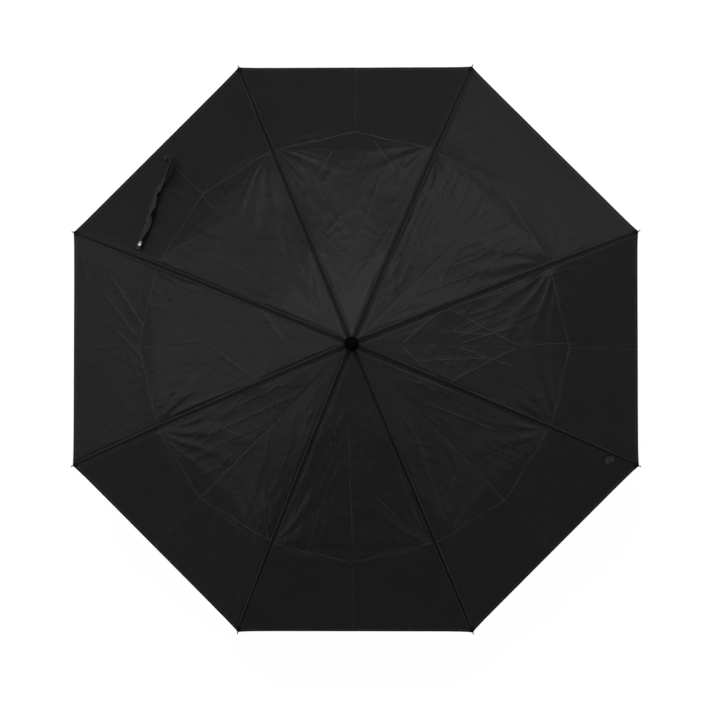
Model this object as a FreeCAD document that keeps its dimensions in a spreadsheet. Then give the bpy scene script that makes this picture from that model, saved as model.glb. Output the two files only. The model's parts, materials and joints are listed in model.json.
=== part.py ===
import FreeCAD, Part
import Sketcher
import math
import os

# A folding umbrella, open, standing on its handle.  Millimetres and degrees.
# Z runs up the shaft to the ferrule, and the origin is the centre of the handle's base.
# Each rib is a chain of a top rib, a middle rib and an outer rib, driven by a stretcher,
# a link bar and a control wire.  Rib members are built once, each in its own frame
# (x along the member, y across the rib, z towards the fabric), and placed eight times.

ROOT = FreeCAD.newDocument("folding_umbrella")
SHEET = ROOT.addObject("Spreadsheet::Sheet", "Sizes")

RIB_COUNT = 8
FIRST_RIB_AZIMUTH = 22.5

DRIVING_SIZES = {
    # shaft
    "crown_level": 462.0,
    "crown_pivot_radius": 10.5,
    "runner_pivot_radius": 9.3,
    "upper_tube_radius": 6.0,
    "middle_tube_radius": 4.1,
    "lower_tube_radius": 3.2,
    "tube_wall": 0.5,
    "tube_neck_length": 5.0,
    "upper_tube_bottom": 304.0,
    "middle_tube_bottom": 178.0,
    "middle_tube_top": 324.0,
    "lower_tube_bottom": 8.0,
    "lower_tube_top": 196.0,
    "slide_gap": 0.05,
    "cutter_margin": 2.0,
    # handle
    "handle_radius": 15.5,
    "handle_waist_radius": 14.6,
    "handle_top_radius": 12.5,
    "handle_length": 48.0,
    "handle_belly_top": 20.16,
    "handle_waist_bottom": 29.76,
    "handle_waist_top": 41.28,
    "end_cap_radius": 14.6,
    "end_cap_thickness": 2.5,
    "end_cap_spigot_radius": 10.5,
    "end_cap_spigot_top": 6.0,
    "end_cap_bevel": 1.0,
    "end_cap_gap": 0.2,
    "strap_hole_radius": 2.0,
    "strap_hole_level": 11.0,
    "strap_hole_offset": 10.5,
    # crown, runner and ferrule
    "crown_radius": 12.2,
    "crown_slot_root": 8.4,
    "crown_slot_width": 2.2,
    "crown_top": 4.0,
    "crown_floor_drop": 2.0,
    "crown_lip_drop": 2.4,
    "crown_root_drop": 3.0,
    "crown_plug_drop": 8.0,
    "crown_skirt_drop": 9.0,
    "crown_skirt_wall": 1.6,
    "crown_lid_thickness": 1.6,
    "crown_lid_bevel": 1.2,
    "seat_gap": 0.1,
    "ring_wire_radius": 0.45,
    "runner_sleeve_radius": 7.6,
    "runner_flange_radius": 10.2,
    "runner_slot_width": 4.6,
    "runner_length_below": 26.0,
    "runner_length_above": 6.0,
    "runner_collar_radius": 9.2,
    "runner_collar_bevel": 0.8,
    "runner_collar_height": 5.0,
    "runner_blend": 1.0,
    "runner_flange_thickness": 5.0,
    "key_slot_width": 2.6,
    "key_slot_depth": 7.5,
    "catch_nose_radius": 6.9,
    "catch_width": 2.0,
    "catch_leaf_radius": 5.35,
    "catch_leaf_thickness": 0.3,
    "catch_height": 9.0,
    "catch_below_runner": 0.3,
    "catch_window_gap": 0.15,
    "catch_leaf_tail": 14.0,
    "catch_leaf_lead": 3.0,
    "ferrule_radius": 10.6,
    "ferrule_height": 30.4,
    "ferrule_stud_radius": 3.4,
    "ferrule_stud_drop": 1.8,
    "ferrule_foot_height": 4.0,
    "ferrule_sink": 1.0,
    # rib members
    "top_rib_length": 147.0,
    "middle_rib_length": 184.0,
    "outer_rib_length": 184.0,
    "stretcher_length": 70.0,
    "stretcher_pivot_along": 50.0,
    "stretcher_pivot_depth": 1.2,
    "channel_width": 4.0,
    "channel_wall": 0.5,
    "top_channel_top": 1.8,
    "top_channel_depth": 2.2,
    "middle_channel_depth": 2.9,
    "knuckle_rise": 1.5,
    "knuckle_drop": 3.1,
    "outer_rod_radius": 1.3,
    "tang_length": 12.0,
    "top_channel_inset": 8.0,
    "top_channel_stop": 11.0,
    "tongue_lap": 8.0,
    "tongue_stop": 2.5,
    "top_bridge_along": 5.0,
    "top_bridge_up": 2.2,
    "middle_channel_inset": 12.0,
    "first_bridge_along": 4.71,
    "first_bridge_drop": 2.83,
    "first_plate_start": 4.0,
    "first_plate_end": 22.0,
    "second_tongue_start": 19.0,
    "second_tongue_end": 7.0,
    "second_bridge_along": 9.0,
    "second_bridge_up": 1.6,
    "seat_bridge_along": 6.79,
    "seat_bridge_up": 1.69,
    "rod_start": 6.0,
    "rod_seat_start": 5.0,
    "rod_seat_end": 16.0,
    "rod_seat_half": 1.0,
    "plate_half": 0.9,
    "tang_half": 0.8,
    "side_plate_inner": 1.1,
    "side_plate_outer": 1.9,
    "eye_radius": 1.7,
    "knuckle_arm_half": 1.3,
    "crank_arm_half": 1.2,
    "head_radius": 1.4,
    "head_thickness": 0.45,
    "head_gap": 0.05,
    "small_head_thickness": 0.4,
    "lug_half": 3.0,
    "lug_thickness": 0.5,
    "lug_drop": 1.8,
    "hook_half": 1.0,
    "hook_thickness": 0.9,
    "hook_lift": 0.6,
    "hook_lip_drop": 0.3,
    "hook_overhang": 1.4,
    "hook_plate_lap": 14.0,
    "bar_stop": 12.0,
    "groove_start": 3.0,
    "groove_stop": 16.0,
    "stretcher_width": 2.4,
    "stretcher_depth": 2.6,
    "pin_radius": 0.8,
    "pin_gap": 0.06,
    "ring_gap": 0.15,
    "eye_wall": 0.3,
    "small_pin_radius": 0.6,
    "link_crank": 9.0,
    "control_crank": 9.0,
    "bar_inner_face": 2.65,
    "bar_thickness": 0.9,
    "bar_depth": 2.4,
    "wire_inner_face": 2.5,
    "wire_radius": 0.6,
    "wire_eye_inset": 0.08,
    "tip_radius": 0.75,
    "tip_ball_radius": 1.1,
    "tip_length": 10.0,
    # canopy
    "fabric_thickness": 0.4,
    "fabric_clearance": 1.0,
    "knuckle_clearance": 1.7,
    "crown_panel_radius": 13.0,
    "canopy_hole_radius": 4.0,
    "hem_inset": 4.0,
    "strap_width": 11.0,
    "strap_length": 158.0,
    "snap_inset": 11.0,
    "strap_thickness": 1.2,
    "snap_radius": 4.0,
    "snap_thickness": 2.0,
}

# Slopes of the members from the horizontal, open and folded.  Folded, the top rib hangs
# down along the shaft, the middle rib stands back up outside it, and the outer rib hangs
# down outside both.
TOP_OPEN, TOP_FOLDED = -12.0, -90.0
MIDDLE_OPEN, MIDDLE_FOLDED = -20.0, 90.0
OUTER_OPEN, OUTER_FOLDED = -34.0, -90.0
LINK_CRANK_ANGLE = -160.0
CONTROL_CRANK_ANGLE = -28.0
OUTER_CRANK_ANGLE = -20.0


def turned(angle, along, up):
    """The point (along, up) turned by angle degrees, in a rib's own plane."""
    turn = math.radians(angle)
    return (along * math.cos(turn) - up * math.sin(turn),
            along * math.sin(turn) + up * math.cos(turn))


def moved(point, angle, along, up):
    step = turned(angle, along, up)
    return (point[0] + step[0], point[1] + step[1])


def rib_points(folded, stretcher_crank=0.0, outer_crank=0.0):
    """Pivot centres and member slopes in the rib's plane, open or folded, relative to
    the crown's level."""
    size = DRIVING_SIZES
    top = TOP_FOLDED if folded else TOP_OPEN
    middle = MIDDLE_FOLDED if folded else MIDDLE_OPEN
    outer = OUTER_FOLDED if folded else OUTER_OPEN
    crown = (size["crown_pivot_radius"], 0.0)
    stretcher = moved(crown, top, size["stretcher_pivot_along"],
                      -size["stretcher_pivot_depth"])
    inward = stretcher[0] - size["runner_pivot_radius"]
    drop = math.sqrt(size["stretcher_length"] ** 2 - inward ** 2)
    runner = (size["runner_pivot_radius"], stretcher[1] - drop)
    stretcher_slope = math.degrees(math.atan2(-drop, -inward))
    first = moved(crown, top, size["top_rib_length"],
                  size["top_channel_top"] + size["knuckle_rise"])
    second = moved(first, middle, size["middle_rib_length"],
                   -size["knuckle_rise"] - size["knuckle_drop"])
    points = {"crown": crown, "stretcher": stretcher, "runner": runner,
              "first": first, "second": second}
    points["link_outer"] = moved(first, middle + LINK_CRANK_ANGLE, size["link_crank"], 0.0)
    points["link_inner"] = moved(stretcher, stretcher_slope, stretcher_crank, 0.0)
    points["wire_inner"] = moved(first, top + CONTROL_CRANK_ANGLE, size["control_crank"], 0.0)
    points["wire_outer"] = moved(second, outer + OUTER_CRANK_ANGLE, outer_crank, 0.0)
    slopes = {"top": top, "middle": middle, "outer": outer, "stretcher": stretcher_slope}
    return points, slopes


def span(points, start, end):
    return math.hypot(points[end][0] - points[start][0], points[end][1] - points[start][1])


def closing_crank(start, end, keyword):
    """The crank for which the bar from start to end has the same length open and folded."""
    low, high = 4.0, 20.0

    def misfit(crank):
        open_points = rib_points(False, **{keyword: crank})[0]
        folded_points = rib_points(True, **{keyword: crank})[0]
        return span(open_points, start, end) - span(folded_points, start, end)

    rising = misfit(high) > misfit(low)
    for _ in range(60):
        middle = (low + high) / 2
        if (misfit(middle) > 0) == rising:
            high = middle
        else:
            low = middle
    return (low + high) / 2


STRETCHER_CRANK = closing_crank("link_outer", "link_inner", "stretcher_crank")
OUTER_CRANK = closing_crank("wire_inner", "wire_outer", "outer_crank")
OPEN, SLOPES = rib_points(False, STRETCHER_CRANK, OUTER_CRANK)

DERIVED_SIZES = {
    "runner_level": DRIVING_SIZES["crown_level"] + OPEN["runner"][1],
    "stretcher_crank": STRETCHER_CRANK,
    "outer_crank": OUTER_CRANK,
    "link_bar_length": span(OPEN, "link_outer", "link_inner"),
    "control_wire_length": span(OPEN, "wire_inner", "wire_outer"),
}
SIZES = dict(DRIVING_SIZES, **DERIVED_SIZES)


def fill_sheet():
    for row, (name, value) in enumerate(SIZES.items(), start=1):
        SHEET.set(f"A{row}", name)
        SHEET.set(f"B{row}", repr(round(value, 6)))
        SHEET.setAlias(f"B{row}", name)
    ROOT.recompute()


def bound(text):
    """An expression with each size's name turned into its cell."""
    words = []
    word = ""
    for letter in text + " ":
        if letter.isalpha() or letter == "_" or (word and letter.isdigit()):
            word += letter
            continue
        words.append(f"Sizes.{word}" if word in SIZES else word)
        words.append(letter)
        word = ""
    return "".join(words).strip()


def bind(item, **expressions):
    for name, text in expressions.items():
        item.setExpression(name, bound(text))


def bind_base(item, x_text, y_text, z_text):
    item.setExpression("Placement.Base.x", bound(x_text))
    item.setExpression("Placement.Base.y", bound(y_text))
    item.setExpression("Placement.Base.z", bound(z_text))


# --- primitives in a member's frame ------------------------------------------------

def block(name, x_low, x_high, y_low, y_high, z_low, z_high):
    item = ROOT.addObject("Part::Box", name)
    bind(item, Length=f"({x_high}) - ({x_low})", Width=f"({y_high}) - ({y_low})",
         Height=f"({z_high}) - ({z_low})")
    bind_base(item, x_low, y_low, z_low)
    return item


def cross_cylinder(name, radius, y_low, y_high, along="0", up="0"):
    """A cylinder along y, such as a pin, its head or the eye round it."""
    item = ROOT.addObject("Part::Cylinder", name)
    item.Placement = FreeCAD.Placement(FreeCAD.Vector(),
                                       FreeCAD.Rotation(FreeCAD.Vector(1, 0, 0), -90))
    bind(item, Radius=radius, Height=f"({y_high}) - ({y_low})")
    bind_base(item, along, y_low, up)
    return item


def long_cylinder(name, radius, x_low, x_high, y_text="0", z_text="0"):
    """A cylinder along x, such as a rod or a wire."""
    item = ROOT.addObject("Part::Cylinder", name)
    item.Placement = FreeCAD.Placement(FreeCAD.Vector(),
                                       FreeCAD.Rotation(FreeCAD.Vector(0, 1, 0), 90))
    bind(item, Radius=radius, Height=f"({x_high}) - ({x_low})")
    bind_base(item, x_low, y_text, z_text)
    return item


def value_of(text):
    """The value of an expression, worked out by the sheet."""
    SHEET.set("D1", "=" + text)
    SHEET.recompute()
    value = SHEET.get("D1")
    return float(getattr(value, "Value", value))


def round_end(name, centre, half_width, y_low, y_high):
    end = ROOT.addObject("Part::Cylinder", name)
    bind(end, Radius=half_width, Height=f"({y_high}) - ({y_low})")
    end.Placement = FreeCAD.Placement(
        FreeCAD.Vector(centre[0], value_of(y_low), centre[1]),
        FreeCAD.Rotation(FreeCAD.Vector(1, 0, 0), -90))
    return end


def arm(name, start, end, half_width, y_low, y_high):
    """A flat plate between two points of the rib's plane, with round ends."""
    along, up = end[0] - start[0], end[1] - start[1]
    angle = math.degrees(math.atan2(up, along))
    plate = ROOT.addObject("Part::Box", name + "_plate")
    plate.Length = math.hypot(along, up)
    bind(plate, Width=f"({y_high}) - ({y_low})", Height=f"2 * ({half_width})")
    corner = moved(start, angle, 0.0, -value_of(half_width))
    plate.Placement = FreeCAD.Placement(
        FreeCAD.Vector(corner[0], value_of(y_low), corner[1]),
        FreeCAD.Rotation(FreeCAD.Vector(0, 1, 0), -angle))
    return [plate, round_end(name + "_near_end", start, half_width, y_low, y_high),
            round_end(name + "_far_end", end, half_width, y_low, y_high)]


def fused(name, pieces):
    item = ROOT.addObject("Part::MultiFuse", name)
    item.Shapes = pieces
    item.Refine = True
    return item


def cut(name, base, tool):
    item = ROOT.addObject("Part::Cut", name)
    item.Base = base
    item.Tool = tool
    return item


def channel(name, x_low, x_high, top, depth):
    """A pressed steel channel, open on the side away from the fabric."""
    half = "channel_width / 2"
    outside = block(name + "_outside", x_low, x_high, f"-{half}", half,
                    f"{top} - {depth}", top)
    inside = block(name + "_inside", f"{x_low} - cutter_margin", f"{x_high} + cutter_margin",
                   f"-{half} + channel_wall", f"{half} - channel_wall",
                   f"{top} - {depth} - cutter_margin", f"{top} - channel_wall")
    return cut(name, outside, inside)


# --- turned pieces, as PartDesign bodies ---------------------------------------------

def origin_feature(body, role):
    return next(item for item in body.Origin.OriginFeatures if item.Role == role)


def polygon_sketch(body, name, plane, corners):
    """A closed outline whose corners are pairs of expressions, bound to the sheet."""
    sketch = body.newObject("Sketcher::SketchObject", name)
    sketch.AttachmentSupport = [(origin_feature(body, plane), "")]
    sketch.MapMode = "FlatFace"
    numbers = [(value_of(along), value_of(up)) for along, up in corners]
    for index, (along, up) in enumerate(numbers):
        following = numbers[(index + 1) % len(numbers)]
        sketch.addGeometry(Part.LineSegment(FreeCAD.Vector(along, up, 0),
                                            FreeCAD.Vector(following[0], following[1], 0)))
    for index in range(len(numbers)):
        sketch.addConstraint(Sketcher.Constraint(
            "Coincident", index, 2, (index + 1) % len(numbers), 1))
    for index, (along, up) in enumerate(corners):
        for kind, text in (("DistanceX", along), ("DistanceY", up)):
            number = value_of(text)
            place = sketch.addConstraint(Sketcher.Constraint(kind, -1, 1, index, 1, number))
            if abs(number) > 1e-9:
                sketch.setExpression(f"Constraints[{place}]", bound(text))
    return sketch


def turned_body(name, corners):
    """A body turned about the shaft from an outline of (radius, level) corners."""
    body = ROOT.addObject("PartDesign::Body", name)
    sketch = polygon_sketch(body, name + "_outline", "XZ_Plane", corners)
    turning = body.newObject("PartDesign::Revolution", name + "_turned")
    turning.Profile = sketch
    turning.ReferenceAxis = (sketch, ["V_Axis"])
    turning.Angle = 360
    ROOT.recompute()
    return body


def cut_slots(body, name, corners, count, first_azimuth):
    """Slots right through a turned body along the shaft, repeated round it."""
    sketch = polygon_sketch(body, name + "_outline", "XY_Plane", corners)
    sketch.AttachmentOffset = FreeCAD.Placement(
        FreeCAD.Vector(), FreeCAD.Rotation(FreeCAD.Vector(0, 0, 1), first_azimuth))
    slot = body.newObject("PartDesign::Pocket", name)
    slot.Profile = sketch
    slot.Type = "ThroughAll"
    slot.Midplane = True
    ROOT.recompute()
    if count > 1:
        pattern = body.newObject("PartDesign::PolarPattern", name + "_pattern")
        pattern.Originals = [slot]
        pattern.Axis = (origin_feature(body, "Z_Axis"), [""])
        pattern.Angle = 360
        pattern.Occurrences = count
        body.Tip = pattern
        ROOT.recompute()


def ring_wire(name, radius, level):
    ring = ROOT.addObject("Part::Torus", name)
    bind(ring, Radius1=radius, Radius2="ring_wire_radius")
    bind_base(ring, "0", "0", level)
    return ring


def slot_outline(inner, outer, width):
    return [(inner, f"-{width} / 2"), (outer, f"-{width} / 2"),
            (outer, f"{width} / 2"), (inner, f"{width} / 2")]


# --- sub-parts on the shaft -------------------------------------------------------------

def handle_grip():
    """The moulded grip, hollow for the lower tube, with a cross hole for a wrist strap."""
    body = turned_body("grip_moulding", [
        ("end_cap_spigot_radius + slide_gap", "end_cap_thickness"),
        ("handle_radius", "end_cap_thickness"),
        ("handle_radius", "handle_belly_top"),
        ("handle_waist_radius", "handle_waist_bottom"),
        ("handle_waist_radius", "handle_waist_top"),
        ("handle_top_radius", "handle_length"),
        ("lower_tube_radius + slide_gap", "handle_length"),
        ("lower_tube_radius + slide_gap", "end_cap_spigot_top + end_cap_gap"),
        ("end_cap_spigot_radius + slide_gap", "end_cap_spigot_top + end_cap_gap")])
    hole = ROOT.addObject("Part::Cylinder", "strap_hole")
    bind(hole, Radius="strap_hole_radius", Height="4 * handle_radius")
    hole.Placement = FreeCAD.Placement(FreeCAD.Vector(),
                                       FreeCAD.Rotation(FreeCAD.Vector(0, 1, 0), 90))
    bind_base(hole, "-2 * handle_radius", "strap_hole_offset", "strap_hole_level")
    return cut("handle_grip", body, hole)


def handle_end_cap():
    return turned_body("handle_end_cap", [
        ("0", "0"), ("end_cap_radius - end_cap_bevel", "0"),
        ("end_cap_radius", "end_cap_bevel"),
        ("end_cap_radius", "end_cap_thickness"),
        ("end_cap_spigot_radius", "end_cap_thickness"),
        ("end_cap_spigot_radius", "end_cap_spigot_top"), ("0", "end_cap_spigot_top")])


def shaft_tube(name, radius, bottom, top, neck_radius):
    """A telescoping tube whose mouth is necked in to guide the tube that slides in it."""
    return turned_body(name, [
        (neck_radius, bottom), (radius, bottom), (radius, top),
        (f"{radius} - tube_wall", top),
        (f"{radius} - tube_wall", f"{bottom} + tube_neck_length"),
        (neck_radius, f"{bottom} + tube_neck_length")])


def lower_tube():
    return turned_body("lower_tube", [
        ("lower_tube_radius - tube_wall", "lower_tube_bottom"),
        ("lower_tube_radius", "lower_tube_bottom"), ("lower_tube_radius", "lower_tube_top"),
        ("lower_tube_radius - tube_wall", "lower_tube_top")])


CATCH_TOP = "runner_level - runner_length_below - catch_below_runner"
CATCH_BOTTOM = f"{CATCH_TOP} - catch_height"


def upper_tube():
    tube = shaft_tube("upper_tube_wall", "upper_tube_radius", "upper_tube_bottom",
                      "crown_level - crown_root_drop - seat_gap",
                      "middle_tube_radius + slide_gap")
    half = "catch_width / 2 + catch_window_gap"
    window = block("catch_window", "catch_leaf_radius - tube_wall",
                   "upper_tube_radius + cutter_margin", f"-({half})", half,
                   f"{CATCH_BOTTOM} - 3 * catch_window_gap",
                   f"{CATCH_TOP} + 3 * catch_window_gap")
    return cut("upper_tube", tube, window)


def runner_catch():
    """The sprung catch: a leaf inside the tube wall and a nose with a sloping top."""
    half = "catch_width / 2"
    leaf = block("catch_leaf", "catch_leaf_radius - catch_leaf_thickness",
                 "catch_leaf_radius", f"-{half}", half,
                 f"{CATCH_BOTTOM} - catch_leaf_tail", f"{CATCH_TOP} + catch_leaf_lead")
    nose = ROOT.addObject("Part::Wedge", "catch_nose")
    bind(nose, Ymin="0", Ymax="catch_width", Xmin="0",
         Xmax="catch_nose_radius - catch_leaf_radius",
         X2min="0", X2max="catch_nose_radius - catch_leaf_radius",
         Zmin="0", Zmax="catch_height", Z2min="0", Z2max="catch_height")
    bind_base(nose, "catch_leaf_radius", "-catch_width / 2", CATCH_BOTTOM)
    return fused("runner_catch", [leaf, nose])


def crown_notch():
    """The notched crown: the top ribs' eyes sit in its slots on a ring of wire."""
    lid_bottom = "crown_level + crown_top - crown_lid_thickness"
    stud_bore = "ferrule_stud_radius + seat_gap"
    tube_outside = "upper_tube_radius + slide_gap"
    tube_inside = "upper_tube_radius - tube_wall - slide_gap"
    body = turned_body("crown_moulding", [
        (stud_bore, "crown_level - crown_floor_drop"), (stud_bore, lid_bottom),
        ("crown_radius", lid_bottom), ("crown_radius", "crown_level - crown_lip_drop"),
        ("crown_slot_root", "crown_level - crown_root_drop"),
        ("upper_tube_radius + crown_skirt_wall", "crown_level - crown_skirt_drop"),
        (tube_outside, "crown_level - crown_skirt_drop"),
        (tube_outside, "crown_level - crown_root_drop"),
        (tube_inside, "crown_level - crown_root_drop"),
        (tube_inside, "crown_level - crown_plug_drop"),
        ("0", "crown_level - crown_plug_drop"), ("0", "crown_level - crown_floor_drop")])
    cut_slots(body, "rib_slot", slot_outline("crown_slot_root", "crown_radius + cutter_margin",
                                             "crown_slot_width"),
              RIB_COUNT, FIRST_RIB_AZIMUTH)
    lid = turned_body("crown_lid", [
        (stud_bore, lid_bottom), ("crown_radius", lid_bottom),
        ("crown_radius - crown_lid_bevel", "crown_level + crown_top"),
        (stud_bore, "crown_level + crown_top")])
    ring = ring_wire("crown_ring", "crown_pivot_radius", "crown_level")
    return fused("crown_notch", [body, lid, ring])


# How far each corner of the ferrule's rounded end lies inside its radius and below its top.
FERRULE_END = ((1.4, 6.0), (1.8, 3.8), (2.6, 2.2), (3.8, 1.1), (5.4, 0.4), (8.0, 0.0))


def ferrule():
    """The cap on the crown, clear of the fabric, with a stud down into the crown."""
    base = "crown_level + crown_top + 2 * fabric_clearance + fabric_thickness - ferrule_sink"
    foot = f"{base} + ferrule_foot_height"
    top = f"{base} + ferrule_height"
    end = [(f"ferrule_radius - {inside}", f"{top} - {below}") for inside, below in FERRULE_END]
    return turned_body("ferrule", [
        ("0", "crown_level - ferrule_stud_drop"),
        ("ferrule_stud_radius", "crown_level - ferrule_stud_drop"),
        ("ferrule_stud_radius", base), ("ferrule_radius", base), ("ferrule_radius", foot),
        *end, ("0", top)])


def runner():
    """The runner: a sleeve with a notched flange and its own ring of wire."""
    bore = "upper_tube_radius + 3 * slide_gap"
    bottom = "runner_level - runner_length_below"
    top = "runner_level + runner_length_above"
    flange_top = "runner_level + runner_length_above / 2"
    flange_bottom = f"{flange_top} - runner_flange_thickness"
    body = turned_body("runner_moulding", [
        (bore, bottom), ("runner_collar_radius - runner_collar_bevel", bottom),
        ("runner_collar_radius", f"{bottom} + runner_blend"),
        ("runner_collar_radius", f"{bottom} + runner_collar_height"),
        ("runner_sleeve_radius", f"{bottom} + runner_collar_height + 2 * runner_blend"),
        ("runner_sleeve_radius", f"{flange_bottom} - runner_blend"),
        ("runner_flange_radius", flange_bottom), ("runner_flange_radius", flange_top),
        ("runner_sleeve_radius", f"{flange_top} + runner_blend"),
        ("runner_sleeve_radius", top),
        (bore, top)])
    cut_slots(body, "stretcher_slot", slot_outline("runner_sleeve_radius",
                                                   "runner_flange_radius + cutter_margin",
                                                   "runner_slot_width"),
              RIB_COUNT, FIRST_RIB_AZIMUTH)
    ring = ring_wire("runner_ring", "runner_pivot_radius", "runner_level")
    whole = fused("runner_whole", [body, ring])
    key_slot = block("key_slot", "upper_tube_radius - tube_wall", "key_slot_depth",
                     "-key_slot_width / 2", "key_slot_width / 2",
                     f"{bottom} - cutter_margin", f"{top} + cutter_margin")
    return cut("runner", whole, key_slot)


# --- rib members, each in its own frame ---------------------------------------------------

def crank_pin(name, centre, start, height, radius="small_pin_radius", towards=1):
    """A pin or its head across the rib at the end of a crank, from y = start."""
    pin = ROOT.addObject("Part::Cylinder", name)
    bind(pin, Radius=radius, Height=height)
    pin.Placement = FreeCAD.Placement(
        FreeCAD.Vector(centre[0], value_of(start), centre[1]),
        FreeCAD.Rotation(FreeCAD.Vector(1, 0, 0), -90 * towards))
    return pin


def rivet(name, inner, outer, along, up):
    """A pin through a knuckle, with a head at each end: y runs from inner to outer."""
    return [
        cross_cylinder(name + "_pin", "pin_radius", inner, outer, along, up),
        cross_cylinder(name + "_head_low", "head_radius", inner, f"{inner} + head_thickness",
                       along, up),
        cross_cylinder(name + "_head_high", "head_radius", f"{outer} - head_thickness", outer,
                       along, up),
    ]


PIVOT = (0.0, 0.0)
RIVET_NEAR = "plate_half + head_thickness"
RIVET_FAR = "side_plate_outer + head_gap + head_thickness"


def top_rib():
    knuckle_up = "top_channel_top + knuckle_rise"
    knuckle = (value_of("top_rib_length"), value_of(knuckle_up))
    stop = "top_rib_length - top_channel_stop"
    lug_low = "stretcher_pivot_along - lug_half"
    lug_high = "stretcher_pivot_along + lug_half"
    lug_bottom = "-stretcher_pivot_depth - lug_drop"
    half = "channel_width / 2"
    pieces = [
        cross_cylinder("top_eye", "eye_radius", "-tang_half", "tang_half"),
        block("top_tang", "0", "tang_length", "-tang_half", "tang_half", "-plate_half",
              "top_channel_top"),
        channel("top_channel", "top_channel_inset", stop, "top_channel_top",
                "top_channel_depth"),
        block("top_tongue", f"{stop} - tongue_lap", "top_rib_length - tongue_stop",
              "-plate_half", "plate_half", "top_channel_top - top_channel_depth",
              "top_channel_top"),
        block("stretcher_lug_left", lug_low, lug_high, f"{half} - lug_thickness", half,
              lug_bottom, "0"),
        block("stretcher_lug_right", lug_low, lug_high, f"-{half}",
              f"-{half} + lug_thickness", lug_bottom, "0"),
    ]
    pieces += rivet("first", f"-({RIVET_FAR})", RIVET_NEAR, "top_rib_length", knuckle_up)
    pieces += rivet("stretcher", f"-{half} - head_thickness", f"{half} + head_thickness",
                    "stretcher_pivot_along", "-stretcher_pivot_depth")
    bridge = (knuckle[0] - value_of("top_bridge_along"),
              knuckle[1] - value_of("top_bridge_up"))
    crank_end = moved(knuckle, CONTROL_CRANK_ANGLE, value_of("control_crank"), 0.0)
    pieces += arm("top_knuckle", bridge, knuckle, "knuckle_arm_half", "-plate_half",
                  "plate_half")
    pieces += arm("control_arm", knuckle, crank_end, "knuckle_arm_half", "-plate_half",
                  "plate_half")
    boss = crank_pin("control_boss", crank_end, "plate_half",
                     "wire_inner_face - plate_half - seat_gap")
    whole = fused("top_rib_solid", pieces + [boss])
    bore = cross_cylinder("top_eye_hole", "ring_wire_radius + ring_gap", "-channel_width",
                          "channel_width")
    return cut("top_rib", whole, bore)


def stretcher():
    half = "stretcher_width / 2"
    hook_end = "stretcher_length + hook_overhang"
    solid = [
        cross_cylinder("stretcher_eye", "stretcher_depth / 2 + eye_wall", f"-{half}", half),
        block("stretcher_bar", "0", "stretcher_length - bar_stop", f"-{half}", half,
              "-stretcher_depth / 2", "stretcher_depth / 2"),
        block("hook_plate", "stretcher_length - hook_plate_lap", hook_end, "-hook_half",
              "hook_half", "hook_lift", "hook_lift + hook_thickness"),
        block("hook_lip", f"{hook_end} - tang_half", hook_end, "-hook_half", "hook_half",
              "-hook_lip_drop", "hook_lift + hook_thickness"),
        cross_cylinder("link_boss", "small_pin_radius", "-bar_inner_face + seat_gap", "0",
                       "stretcher_crank"),
    ]
    whole = fused("stretcher_solid", solid)
    groove = block("stretcher_groove", "stretcher_crank + groove_start",
                   "stretcher_length - groove_stop", f"-{half} + channel_wall",
                   f"{half} - channel_wall",
                   "-stretcher_depth", "stretcher_depth / 2 - channel_wall")
    hole = cross_cylinder("stretcher_hole", "pin_radius + pin_gap", "-stretcher_width",
                          "stretcher_width")
    grooved = cut("stretcher_grooved", whole, groove)
    return cut("stretcher", grooved, hole)


def link_bar():
    inner = "-bar_inner_face"
    outer = "-bar_inner_face - bar_thickness"
    eye = "bar_depth / 2 + eye_wall"
    solid = [
        block("link_flat", "0", "link_bar_length", outer, inner,
              "-bar_depth / 2", "bar_depth / 2"),
        cross_cylinder("link_outer_eye", eye, outer, inner),
        cross_cylinder("link_inner_eye", eye, outer, inner, "link_bar_length"),
        cross_cylinder("link_rivet_head", "2 * small_pin_radius",
                       f"{outer} - small_head_thickness", outer, "link_bar_length"),
    ]
    whole = fused("link_solid", solid)
    hole = cross_cylinder("link_hole", "small_pin_radius + pin_gap", "-2 * bar_inner_face",
                          "0")
    return cut("link_bar", whole, hole)


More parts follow.
